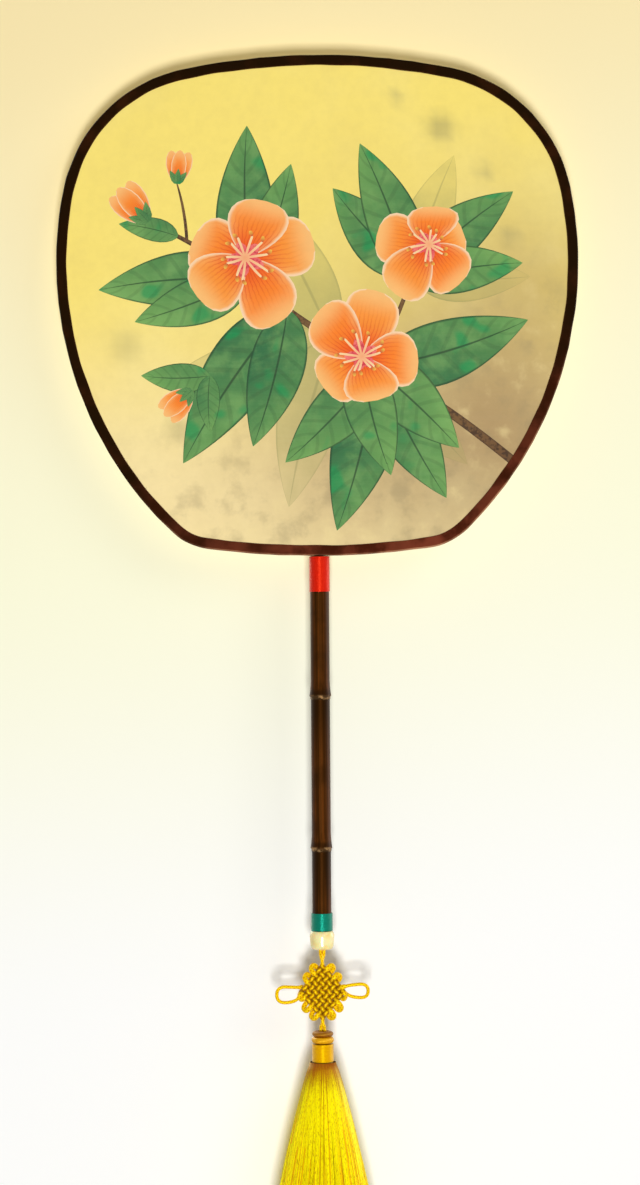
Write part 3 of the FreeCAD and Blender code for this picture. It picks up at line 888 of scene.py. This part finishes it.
def make_binding():
    """The tape as one strip folded round the rim, with hand-cut edges that wander a little."""
    points, outward = outline(rim_spacing)
    count = len(points)
    front, back = rim_low.y, rim_high.y
    inside_front, inside_back = silk_low.y, back - binding_thickness
    still = np.zeros(count)
    front_edge = slow_wander(count, (7, 13, 22, 31, 47), 0.14 * mm)
    back_edge = slow_wander(count, (5, 11, 19, 37), 0.2 * mm)
    fold = np.abs(slow_wander(count, (9, 16, 25, 38), 0.16 * mm))
    # Each point of the section has its inset, depth, share of rubbing, wander and share of painted highlight
    # on the fold
    sides, corners = [], []
    for face, inside, lip, edge in ((front, inside_front, binding_lip, front_edge),
                                    (back, inside_back, -binding_lip, back_edge)):
        sides.append([(binding_width, inside, 1.0, edge, 0.0),
                      (binding_width, face + lip, 1.0, edge, 0.0),
                      (binding_width - binding_lip, face, 0.8, edge, 0.0),
                      (binding_width - 4 * binding_lip, face, 0.0, edge, 0.0),
                      (2.2 * binding_round, face, 0.0, still, 0.0)])
    for centre, first_angle in ((front + binding_round, -math.pi / 2), (back - binding_round, 0.0)):
        for k in range(5):
            angle = first_angle + math.pi / 2 * k / 4
            inset = binding_round * (1 - math.cos(angle))
            # Points on the outer fold carry the painted highlight.
            fold_highlight = 1.0 if inset < 0.8 * binding_round else 0.0
            corners.append((inset, centre + binding_round * math.sin(angle), 0.0, fold, fold_highlight))
    hidden = [(binding_thickness, depth, 0.0, still, 0.0) for depth in (inside_back, inside_front)]
    section = sides[0] + corners + sides[1][::-1] + hidden
    verts = []
    for k in range(count):
        for inset, depth, _, wander, _ in section:
            point = points[k] - outward[k] * (inset + wander[k])
            verts.append((point.x, depth, point.y))
    faces = [(a, d, c, b) for a, b, c, d in grid_faces(count, len(section))]
    piece = add_piece("binding", verts, faces, [binding_material()])
    add_values(piece, "tape_edge", [row[2] for row in section] * count)
    add_values(piece, "tape_fold", [row[4] for row in section] * count)
    dress(piece, "handle", ("edge_binding",))


# The painted silk. Its motifs are placed in millimetres from the middle of the face


class Motif:
    """A painted shape along a bent middle line, with its own coordinates along and across it."""

    def __init__(self, kind, root, angle, length, width, bend, ends, tone=0.5):
        turn = math.radians(angle)
        self.kind = kind
        self.root = Vector(root)
        self.heading = Vector((math.cos(turn), math.sin(turn)))
        self.side = Vector((-math.sin(turn), math.cos(turn)))
        self.length = length
        self.width = width
        self.bend = bend
        self.ends = ends
        self.tone = tone

    def half_width(self, along):
        first, last = self.ends
        peak = first / (first + last)
        return self.width / 2 * (along / peak) ** first * ((1 - along) / (1 - peak)) ** last

    def point(self, along, across=0.0):
        offset = self.bend * along ** 2 + across * self.half_width(along)
        return self.root + self.heading * (self.length * along) + self.side * offset

    def coordinates(self, point):
        away = point - self.root
        along = min(max(away.dot(self.heading) / self.length, 0.0), 1.0)
        offset = away.dot(self.side) - self.bend * along ** 2
        across = offset / max(self.half_width(along), 0.02 * self.width)
        return along, min(max(across, -1.0), 1.0)

    def rows(self):
        count = max(5, round(self.length / motif_step))
        return [(1 - math.cos(math.pi * k / count)) / 2 for k in range(count + 1)]

    def outline(self):
        rows = self.rows()
        return [self.point(row, -1) for row in rows] + [self.point(row, 1) for row in rows[-2:0:-1]]

    def inner_points(self):
        return [self.point(row, across) for row in self.rows()[1:-1] for across in (-0.5, 0, 0.5)]


def blossom(x, z, size, turn, lean, lean_angle):
    """Five broad petals, a rosy centre and a ring of stamens, seen a little from the side."""
    made = []

    def seen(angle):
        away = math.radians(angle - lean_angle)
        return 1 - lean * (0.5 + 0.5 * math.cos(away))

    for k in (0, 2, 4, 1, 3):
        angle = turn + 72 * k + 6 * math.sin(3 * k + turn)
        length = size * seen(angle) * (1 + 0.06 * math.sin(5 * k + turn))
        made.append(Motif("petal", (x, z), angle, length, 0.84 * size, 0.09 * size * math.cos(2 * k + turn),
                          (0.85, 0.42), 0.5 + 0.3 * math.sin(4 * k + turn)))
    for k in range(5):
        angle = turn + 36 + 72 * k
        made.append(Motif("centre", (x, z), angle, 0.30 * size * seen(angle), 0.17 * size, 0.0, (0.6, 0.6)))
    for k in range(11):
        angle = turn + 360 * k / 11
        length = size * seen(angle) * (0.36 + 0.05 * math.sin(7 * k))
        bend = 0.05 * size * math.sin(3 * k)
        stalk = Motif("stalk", (x, z), angle, length, 0.035 * size, bend, (0.1, 0.1))
        tip = stalk.point(0.94)
        made += [stalk, Motif("anther", tip, angle + 40, 0.085 * size, 0.055 * size, 0.0, (0.5, 0.5))]
    return made


def bud(root, size, angle):
    """A closed flower in its green cup."""
    made = [Motif("petal", root, angle + lean, size, 0.45 * size, 0.0, (0.7, 0.6), tone)
            for lean, tone in ((16, 0.3), (-16, 0.6), (0, 0.45))]
    made += [Motif("leaf", root, angle + lean, 0.45 * size, 0.2 * size, 0.0, (0.5, 0.9), 0.35)
             for lean in (-34, 34, 0)]
    return made


def sprays(kind, plans):
    """Leaves from places along branches, each by its angle, length, width, bend and tone."""
    return [Motif(kind, branch.point(share), angle, length, width, bend, (0.62, 0.95), tone)
            for branch, share, leaves in plans for angle, length, width, bend, tone in leaves]


def painting():
    """A flowering spray that rises from the lower right, from the back layer to the front one."""
    stem = Motif("branch", (106, -86), 139, 88, 4.6, 7, (0.03, 0.12))
    middle = Motif("branch", stem.point(0.97), 152, 88, 3.6, -9, (0.03, 0.16))
    upper = Motif("branch", middle.point(0.95), 143, 62, 2.6, 7, (0.03, 0.22))
    lower = Motif("branch", middle.point(0.62), 207, 66, 2.2, 8, (0.03, 0.22))
    right = Motif("branch", middle.point(0.12), 62, 62, 2.4, 6, (0.03, 0.22))
    side = Motif("branch", upper.point(0.62), 92, 30, 1.6, 4, (0.03, 0.3))
    washes = sprays("wash", (
        (middle, 0.4, ((112, 84, 30, 8, 0.3), (200, 84, 28, -10, 0.5), (250, 86, 32, 8, 0.4))),
        (middle, 0.4, ((322, 92, 32, -8, 0.2),)),
        (right, 0.8, ((76, 62, 24, -6, 0.4), (350, 58, 24, 8, 0.3))),
    ))
    leaves = sprays("leaf", (
        (middle, 0.95, ((98, 78, 30, -9, 0.15), (64, 62, 25, 8, 0.4))),
        (middle, 0.1, ((8, 78, 32, 12, 0.2), (262, 84, 32, -9, 0.05))),
        (middle, 0.1, ((292, 74, 29, 7, 0.35), (232, 66, 27, -7, 0.45))),
        (middle, 0.7, ((228, 92, 34, 12, 0.25), (262, 70, 28, -8, 0.1))),
        (right, 0.8, ((46, 64, 26, -8, 0.3), (140, 58, 26, -7, 0.2))),
        (middle, 0.98, ((176, 74, 28, 10, 0.55), (206, 60, 24, -6, 0.75))),
        (middle, 0.2, ((322, 66, 29, -6, 0.65), (276, 60, 26, 8, 0.6))),
        (right, 0.75, ((104, 72, 27, 8, 0.45), (14, 56, 24, -6, 0.7))),
        (lower, 0.8, ((188, 34, 15, -5, 0.7), (262, 28, 12, 4, 0.4))),
        (upper, 0.7, ((160, 30, 12, 4, 0.6),)),
    ))
    flowers = bud(upper.point(0.96), 23, 132)
    flowers += bud(side.point(0.96), 17, 84)
    flowers += bud(lower.point(0.97), 19, 222)
    flowers += blossom(56, 30, 31, 20, 0.45, 40)
    flowers += blossom(22, -26, 33, 70, 0.3, 285)
    flowers += blossom(-36, 24, 36, 8, 0.22, 120)
    return washes + [stem, middle, upper, lower, right, side] + leaves + flowers


# Brushed colours. A cloud or blot on the silk has its place, its size and its strength

silk_warm = ink(255, 231, 120)
silk_pale = ink(253, 230, 168)
silk_shade = ink(178, 148, 102)
silk_blot = ink(140, 134, 92)
wash_clouds = ((84, -62, 70, 0.95), (14, -70, 52, 0.5), (104, 12, 44, 0.45), (30, 10, 50, 0.15))
wash_blots = ((62, 88, 7, 0.55), (84, 66, 4.5, 0.4), (40, 104, 4, 0.35), (-96, -20, 8, 0.3),
              (-70, -62, 6, 0.35), (96, 34, 5, 0.4))


def ground_colour(point):
    """The silk's own colour: warm above, paler below, grey-brown washes at the lower right, a few blots."""
    colour = between(eased(-point.y, -20, 100), silk_warm, silk_pale)
    for spots, sharpness, tint in ((wash_clouds, 1.0, silk_shade), (wash_blots, 1.5, silk_blot)):
        for x, z, size, strength in spots:
            away = (point - Vector((x, z))).length_squared / size ** 2
            colour = between(strength * math.exp(-away ** sharpness), colour, tint)
    return colour


def petal_colour(along, across, tone):
    mid = between(tone, ink(255, 126, 30), ink(255, 156, 56))
    body = between(eased(along, 0.1, 0.6), ink(242, 84, 20), mid)
    return between(max(0.6 * abs(across) ** 4, 0.75 * eased(along, 0.55, 1.0)), body, ink(255, 206, 132))


def leaf_colour(along, across, tone):
    share = 0.15 + 0.5 * tone + 0.3 * eased(along, 0.35, 1.0) + 0.12 * across
    return between(min(max(share, 0.0), 1.0), ink(18, 96, 62), ink(124, 176, 92))


def plain_colour(first, second):
    return lambda along, across, tone: between(along, first, second)


# Brushed details, added to the brushed colour in the shader


def petal_detail(shader, colour):
    """Fine red lines that run out from the base, and a pale brushed edge."""
    across = shader.attribute("across")
    lanes = across * 3.2 + shader.place.noise(260.0) * 0.5
    line = lanes.ripple(0.5).ramp(0.82, 1.0) * shader.attribute("along").ramp(0.12, 0.9, 0.6, 0.0)
    colour = line.mix(colour, ink(214, 66, 22))
    return abs(across).ramp(0.84, 0.98, 0.0, 0.75).mix(colour, ink(255, 228, 192))


def leaf_detail(shader, colour):
    """Blotted green, the middle rib and side veins, and a dark ink line along the edge."""
    reach = abs(shader.attribute("across"))
    colour = shader.place.noise(85.0, 4.0).ramp(0.4, 0.75, 0.0, 0.45).mix(colour, ink(134, 182, 104))
    colour = shader.place.noise(60.0, 1.0).ramp(0.58, 0.68, 0.0, 0.7).mix(colour, ink(8, 146, 80))
    vein = (shader.attribute("along") - reach * 0.13).ripple(0.13).ramp(0.9, 1.0, 0.0, 0.18)
    rib = reach.ramp(0.015, 0.055, 0.8, 0.0)
    edge = reach.ramp(0.9, 0.97, 0.0, 0.75)
    return vein.most(rib.most(edge)).mix(colour, ink(28, 62, 38))


def wash_detail(shader, colour):
    """A pale leaf in thin, uneven wash, with a faint middle rib and edge."""
    reach = abs(shader.attribute("across"))
    colour = shader.place.noise(45.0, 4.0).ramp(0.3, 0.7, 0.0, 0.3).mix(colour, ink(160, 158, 98))
    rib = reach.ramp(0.02, 0.07, 0.35, 0.0)
    edge = reach.ramp(0.9, 1.0, 0.0, 0.3)
    return rib.most(edge).mix(colour, ink(132, 132, 82))


def branch_detail(shader, colour):
    """Dry-brush bark: dark broken strokes along the branch."""
    edge = abs(shader.attribute("across")).ramp(0.6, 0.95, 0.0, 0.7)
    strokes = shader.place.noise(420.0, 4.0).ramp(0.45, 0.6, 0.0, 0.8)
    return edge.most(strokes).mix(colour, ink(58, 40, 28))


def ground_detail(shader, colour):
    """Uneven washes on the bare silk, with stains and pale patches towards the lower right."""
    place = shader.place
    x, _, z = place.split()
    colour = place.noise(28.0, 5.0).ramp(0.45, 0.75, 0.0, 0.1).mix(colour, ink(206, 178, 116))
    colour = place.noise(9.0, 3.0).ramp(0.45, 0.8, 0.0, 0.3).mix(colour, ink(248, 236, 176))
    low = (z - x * 0.45).ramp(face_middle - 95 * mm, face_middle + 5 * mm, 1.0, 0.0)
    patch = place.noise(62.0, 5.0)
    colour = (low * patch.ramp(0.48, 0.7, 0.0, 0.4)).mix(colour, ink(150, 134, 98))
    return (low * patch.ramp(0.28, 0.48, 0.4, 0.0)).mix(colour, ink(248, 226, 160))


def spotted_detail(shader, colour):
    """Small red spots."""
    return shader.place.noise(900.0, 1.0).ramp(0.52, 0.6, 0.0, 0.6).mix(colour, ink(190, 24, 60))


def bare_detail(shader, colour):
    """Nothing more than the brushed colour."""
    return colour


# The brushed colour of each kind of motif along and across it, and its details
paints = {
    "ground": (None, ground_detail),
    "wash": (plain_colour(ink(156, 160, 98), ink(208, 198, 120)), wash_detail),
    "petal": (petal_colour, petal_detail),
    "leaf": (leaf_colour, leaf_detail),
    "branch": (plain_colour(ink(104, 72, 44), ink(128, 96, 56)), branch_detail),
    "centre": (plain_colour(ink(222, 40, 72), ink(250, 132, 120)), spotted_detail),
    "stalk": (plain_colour(ink(250, 170, 120), ink(255, 226, 170)), bare_detail),
    "anther": (plain_colour(ink(196, 60, 40), ink(250, 200, 80)), bare_detail),
}


def painted_colour(motif, point, along, across):
    """The brushed colour at a point. A wash is so thin that the silk's own colour shows, most at its tip."""
    if motif is None:
        return ground_colour(point)
    colour = paints[motif.kind][0](along, across, motif.tone)
    if motif.kind == "wash":
        return between(0.4 + 0.5 * along, colour, ground_colour(point))
    return colour


def painted_material(name, detail):
    """Watercolour on silk: brushed colour, pooled pigment, the cloth's weave and a paler back."""
    shader = Shader("silk_" + name, {"Sheen Weight": 0.12, "Specular IOR Level": 0.22})
    place = shader.place
    x, _, z = place.split()
    colour = detail(shader, shader.attribute("paint", "Color"))
    colour = place.noise(240.0, 5.0).ramp(0.3, 0.75, 0.0, 0.05).mix(colour, ink(140, 118, 70))
    colour = (shader.attribute("behind") * 0.5).mix(colour, silk_pale)
    slub = place.stretch((30.0, 1.0, 1600.0)).noise(1.0)
    shader.bump(x.ripple(silk_thread) + z.ripple(silk_thread) + slub, 0.12, 0.05 * mm)
    return shader.finish(colour, slub.ramp(0.3, 0.7, 0.62, 0.8))


def silk_slack(point):
    """How far the stretched silk stands forward: nothing at the rim, a hair's breadth inside it."""
    room = 1 - (2.1 * point.x * mm / face_width) ** 2 - (2.1 * point.y * mm / face_height) ** 2
    wave = 0.5 + 0.5 * math.sin(0.045 * point.x + 0.02 * point.y) * math.cos(0.03 * point.y - 0.01 * point.x)
    return slack_depth * max(room, 0.0) * wave


def cut_silk(motifs):
    """Triangles of the silk, cut along every motif's outline, with the uppermost motif of each (or None)."""
    rim_points, outward = outline(hem_spacing)
    middle = Vector((0, face_middle))
    hem = [(point - out * silk_inset - middle) / mm for point, out in zip(rim_points, outward)][::-1]
    points, loops = [], []
    for shape in [hem] + [motif.outline() for motif in motifs]:
        loops.append(list(range(len(points), len(points) + len(shape))))
        points += shape
    for motif in motifs:
        if motif.width > wide_motif:
            points += motif.inner_points()
    reach = round(face_width / mm / 2)
    points += [Vector((x, z)) for x in range(-reach, reach, grid_step)
               for z in range(-reach, reach, grid_step)]
    inside_only = 1
    flat, _, faces, _, _, owners = delaunay_2d_cdt(points, [], loops, inside_only, same_point)
    triangles = [(face, max(owner)) for face, owner in zip(faces, owners) if 0 in owner]
    return flat, [(face, motifs[top - 1] if top else None) for face, top in triangles]


def make_silk():
    """The silk as one thin cloth with the painting on its front, showing through paler at its back."""
    flat, triangles = cut_silk(painting())
    count = len(flat)
    front = [(p.x * mm, silk_low.y - silk_slack(p), face_middle + p.y * mm) for p in flat]
    back = [(x, y + silk_high.y - silk_low.y, z) for x, y, z in front]
    edges = [pair for face, _ in triangles for pair in zip(face, face[1:] + face[:1])]
    known = set(edges)
    hem = [(end, start, count + start, count + end) for start, end in edges if (end, start) not in known]
    faces = [face for face, _ in triangles] + [[count + k for k in reversed(face)] for face, _ in triangles]
    owners = [motif for _, motif in triangles] * 2 + [None] * len(hem)
    materials = [painted_material(kind, detail) for kind, (_, detail) in paints.items()]
    piece = add_piece("painted_silk", front + back, faces + hem, materials)
    mesh = piece.data
    kinds = list(paints)
    paint, along_row, across_row = [], [], []
    for polygon, motif in zip(mesh.polygons, owners):
        polygon.material_index = kinds.index(motif.kind if motif else "ground")
        for vertex in polygon.vertices:
            point = flat[vertex % count]
            along, across = motif.coordinates(point) if motif else (0.0, 0.0)
            paint.extend((*painted_colour(motif, point, along, across), 1.0))
            along_row.append(along)
            across_row.append(across)
    mesh.color_attributes.new("paint", "FLOAT_COLOR", "CORNER").data.foreach_set("color", paint)
    add_values(piece, "along", along_row, "CORNER")
    add_values(piece, "across", across_row, "CORNER")
    add_values(piece, "behind", [0.0] * count + [1.0] * count)
    dress(piece, "handle", ("silk_panel",))


# Looks of the CAD nodes that stay


def bamboo_material():
    """Dark stained bamboo: long streaks, a waxed gloss, a pale ring at each node where the sheath fell,
    brightened in patches as a painted highlight, and dark shade below it.
    """
    shader = Shader("dark_bamboo", {"Specular IOR Level": 0.24, "Specular Tint": (*ink(214, 130, 60), 1.0)})
    place = shader.place
    height = place.split()[2]
    streak = place.stretch((900.0, 900.0, 14.0)).noise(1.0, 4.0)
    blotch = place.noise(60.0, 3.0)
    fleck = place.noise(330.0, 3.0)
    colour = streak.ramp(0.35, 0.72).mix(ink(40, 20, 3), ink(88, 46, 12))
    colour = blotch.ramp(0.42, 0.7, 0.0, 0.75).mix(colour, ink(26, 13, 2))
    for node in (upper_node, lower_node):
        away = height - node
        under = away.ramp(-1 * mm, 1 * mm, 1.0, 0.0) * away.ramp(-36 * mm, -4 * mm, 0.0, 0.95)
        crown = abs(away - 1.7 * mm).ramp(0.4 * mm, 2.4 * mm, 0.75, 0.0)
        scar_and_highlight = abs(away + 0.5 * mm).ramp(0.3 * mm, 1.5 * mm, 1.0, 0.0) * fleck.ramp(0.42, 0.6, 0.1, 0.95)
        colour = under.mix(colour, ink(18, 9, 1))
        colour = crown.mix(colour, ink(20, 9, 2))
        # A pale ring where the sheath fell below each node, brightened in patches as a painted highlight.
        colour = scar_and_highlight.mix(colour, ink(172, 134, 88))
    shader.bump(streak + blotch * 0.5, 0.25, 0.12 * mm)
    return shader.finish(colour, streak.ramp(0.3, 0.7, 0.36, 0.52))


def strip_material():
    """Split bamboo: pale straw with fine fibres along the hoop."""
    shader = Shader("strip_bamboo", {"Specular IOR Level": 0.35})
    fibre = shader.place.stretch((300.0, 3000.0, 300.0)).noise(1.0, 4.0)
    shader.bump(fibre, 0.3, 0.1 * mm)
    colour = fibre.ramp(0.3, 0.7).mix(ink(150, 112, 62), ink(204, 168, 108))
    return shader.finish(colour, fibre.ramp(0.3, 0.7, 0.5, 0.65))


def bead_material():
    """Creamy polished stone: soft clouds, faint veins and light that sinks in a little."""
    shader = Shader("white_bead", {"Subsurface Weight": 0.35, "Subsurface Scale": 2 * mm, "Coat Weight": 0.4,
                                   "Coat Roughness": 0.12, "IOR": 1.52})
    cloud = shader.place.noise(220.0, 4.0)
    vein = shader.place.stretch((1.0, 1.0, 0.35)).noise(420.0, 6.0)
    colour = cloud.ramp(0.35, 0.7).mix(ink(255, 240, 174), ink(249, 221, 134))
    colour = vein.ramp(0.58, 0.64, 0.0, 0.3).mix(colour, ink(238, 210, 140))
    shader.bump(cloud, 0.05, 0.1 * mm)
    return shader.finish(colour, vein.ramp(0.4, 0.7, 0.2, 0.32))


def dress_nodes():
    looks = {"bamboo_handle": bamboo_material(), "hoop_strip": strip_material(), "end_bead": bead_material()}
    for node, material in looks.items():
        for material_slot in frame["nodes"][node].material_slots:
            material_slot.material = material


# Stage and light


def stage_finish(shader, colour, near, far):
    """Paint seen from its front only, never in the light's way, that fades out far from the object."""
    shader.bump(shader.place.noise(700.0, 2.0), 0.05, 0.1 * mm)
    shader.finish(colour)
    front = shader.wire("NewGeometry", {}, "Backfacing").ramp(0.0, 1.0, 1.0, 0.0)
    away = shader.wire("VectorMath", {0: shader.place, 1: view_target}, "Value", operation="DISTANCE")
    seen = front * shader.watching_rays() * away.ramp(near, far, 1.0, 0.0)
    clear = shader.wire("BsdfTransparent", {})
    painted = Wire(shader, shader.surface.outputs[0])
    output = shader.tree.nodes["Material Output"]
    shader.put(output.inputs["Surface"], shader.wire("MixShader", {0: seen, 1: clear, 2: painted}))
    return shader.material


def wall_material():
    """Cream paint, warmer towards the top."""
    shader = Shader("wall_paint", {"Roughness": 0.9, "Specular IOR Level": 0.1})
    x, _, z = shader.place.split()
    slant = x * 0.15 - z
    upper = slant.ramp(-0.42, -0.1).mix(ink(255, 236, 180), ink(255, 254, 222))
    colour = slant.ramp(-0.15, 0.12).mix(upper, ink(255, 255, 253))
    return stage_finish(shader, colour, 0.4, 0.9)


def floor_material():
    """Plain pale paint with a glow of its own, so that it stays pale in the shade."""
    shader = Shader("floor_paint", {"Roughness": 0.9, "Specular IOR Level": 0.1,
                                    "Emission Color": (1.0, 0.99, 0.96, 1.0), "Emission Strength": 0.5})
    cloud = shader.place.noise(4.0)
    colour = cloud.ramp(0.3, 0.7).mix(ink(196, 195, 190), ink(200, 199, 195))
    return stage_finish(shader, colour, 0.5, 1.5)


def make_stage():
    """A floor under the tassel and a wall behind it that leans in towards the rim."""
    reach = stage_reach
    floor_z = cad_low.z - floor_gap
    foot_y = cad_high.y + tassel_to_wall
    lean = (foot_y - rim_high.y - rim_to_wall) / (rim_high.z - floor_z)
    head_y = foot_y - lean * (reach - floor_z)
    floor = [(-reach, -reach, floor_z), (reach, -reach, floor_z),
             (reach, reach, floor_z), (-reach, reach, floor_z)]
    wall = [(-reach, foot_y, floor_z), (reach, foot_y, floor_z),
            (reach, head_y, reach), (-reach, head_y, reach)]
    for name, corners, paint in (("floor", floor, floor_material()), ("wall", wall, wall_material())):
        add_piece(name, corners, [(0, 1, 2, 3)], [paint])


def make_light():
    """Square soft lamps that face the object, and a pale world that lights it less than it shows."""
    for name, (place, size, watts) in lamps.items():
        data = bpy.data.lights.new(name, "AREA")
        data.size = size
        data.energy = watts
        lamp = bpy.data.objects.new(name, data)
        lamp.location = place
        lamp.rotation_euler = (Vector(view_target) - Vector(place)).to_track_quat("-Z", "Y").to_euler()
        bpy.context.scene.collection.objects.link(lamp)
    world = bpy.data.worlds.new("world")
    world.use_nodes = True
    graph = Graph(world.node_tree)
    background = graph.tree.nodes["Background"].inputs
    graph.put(background["Color"], (1.0, 0.985, 0.95, 1.0))
    graph.put(background["Strength"], graph.watching_rays().ramp(0.0, 1.0, world_light, world_backdrop))
    bpy.context.scene.world = world
    bpy.context.scene.view_settings.view_transform = "Standard"


make_camera()
make_knot()
make_links()
make_windings()
make_collar()
make_tassel()
make_binding()
make_silk()
dress_nodes()
make_stage()
make_light()
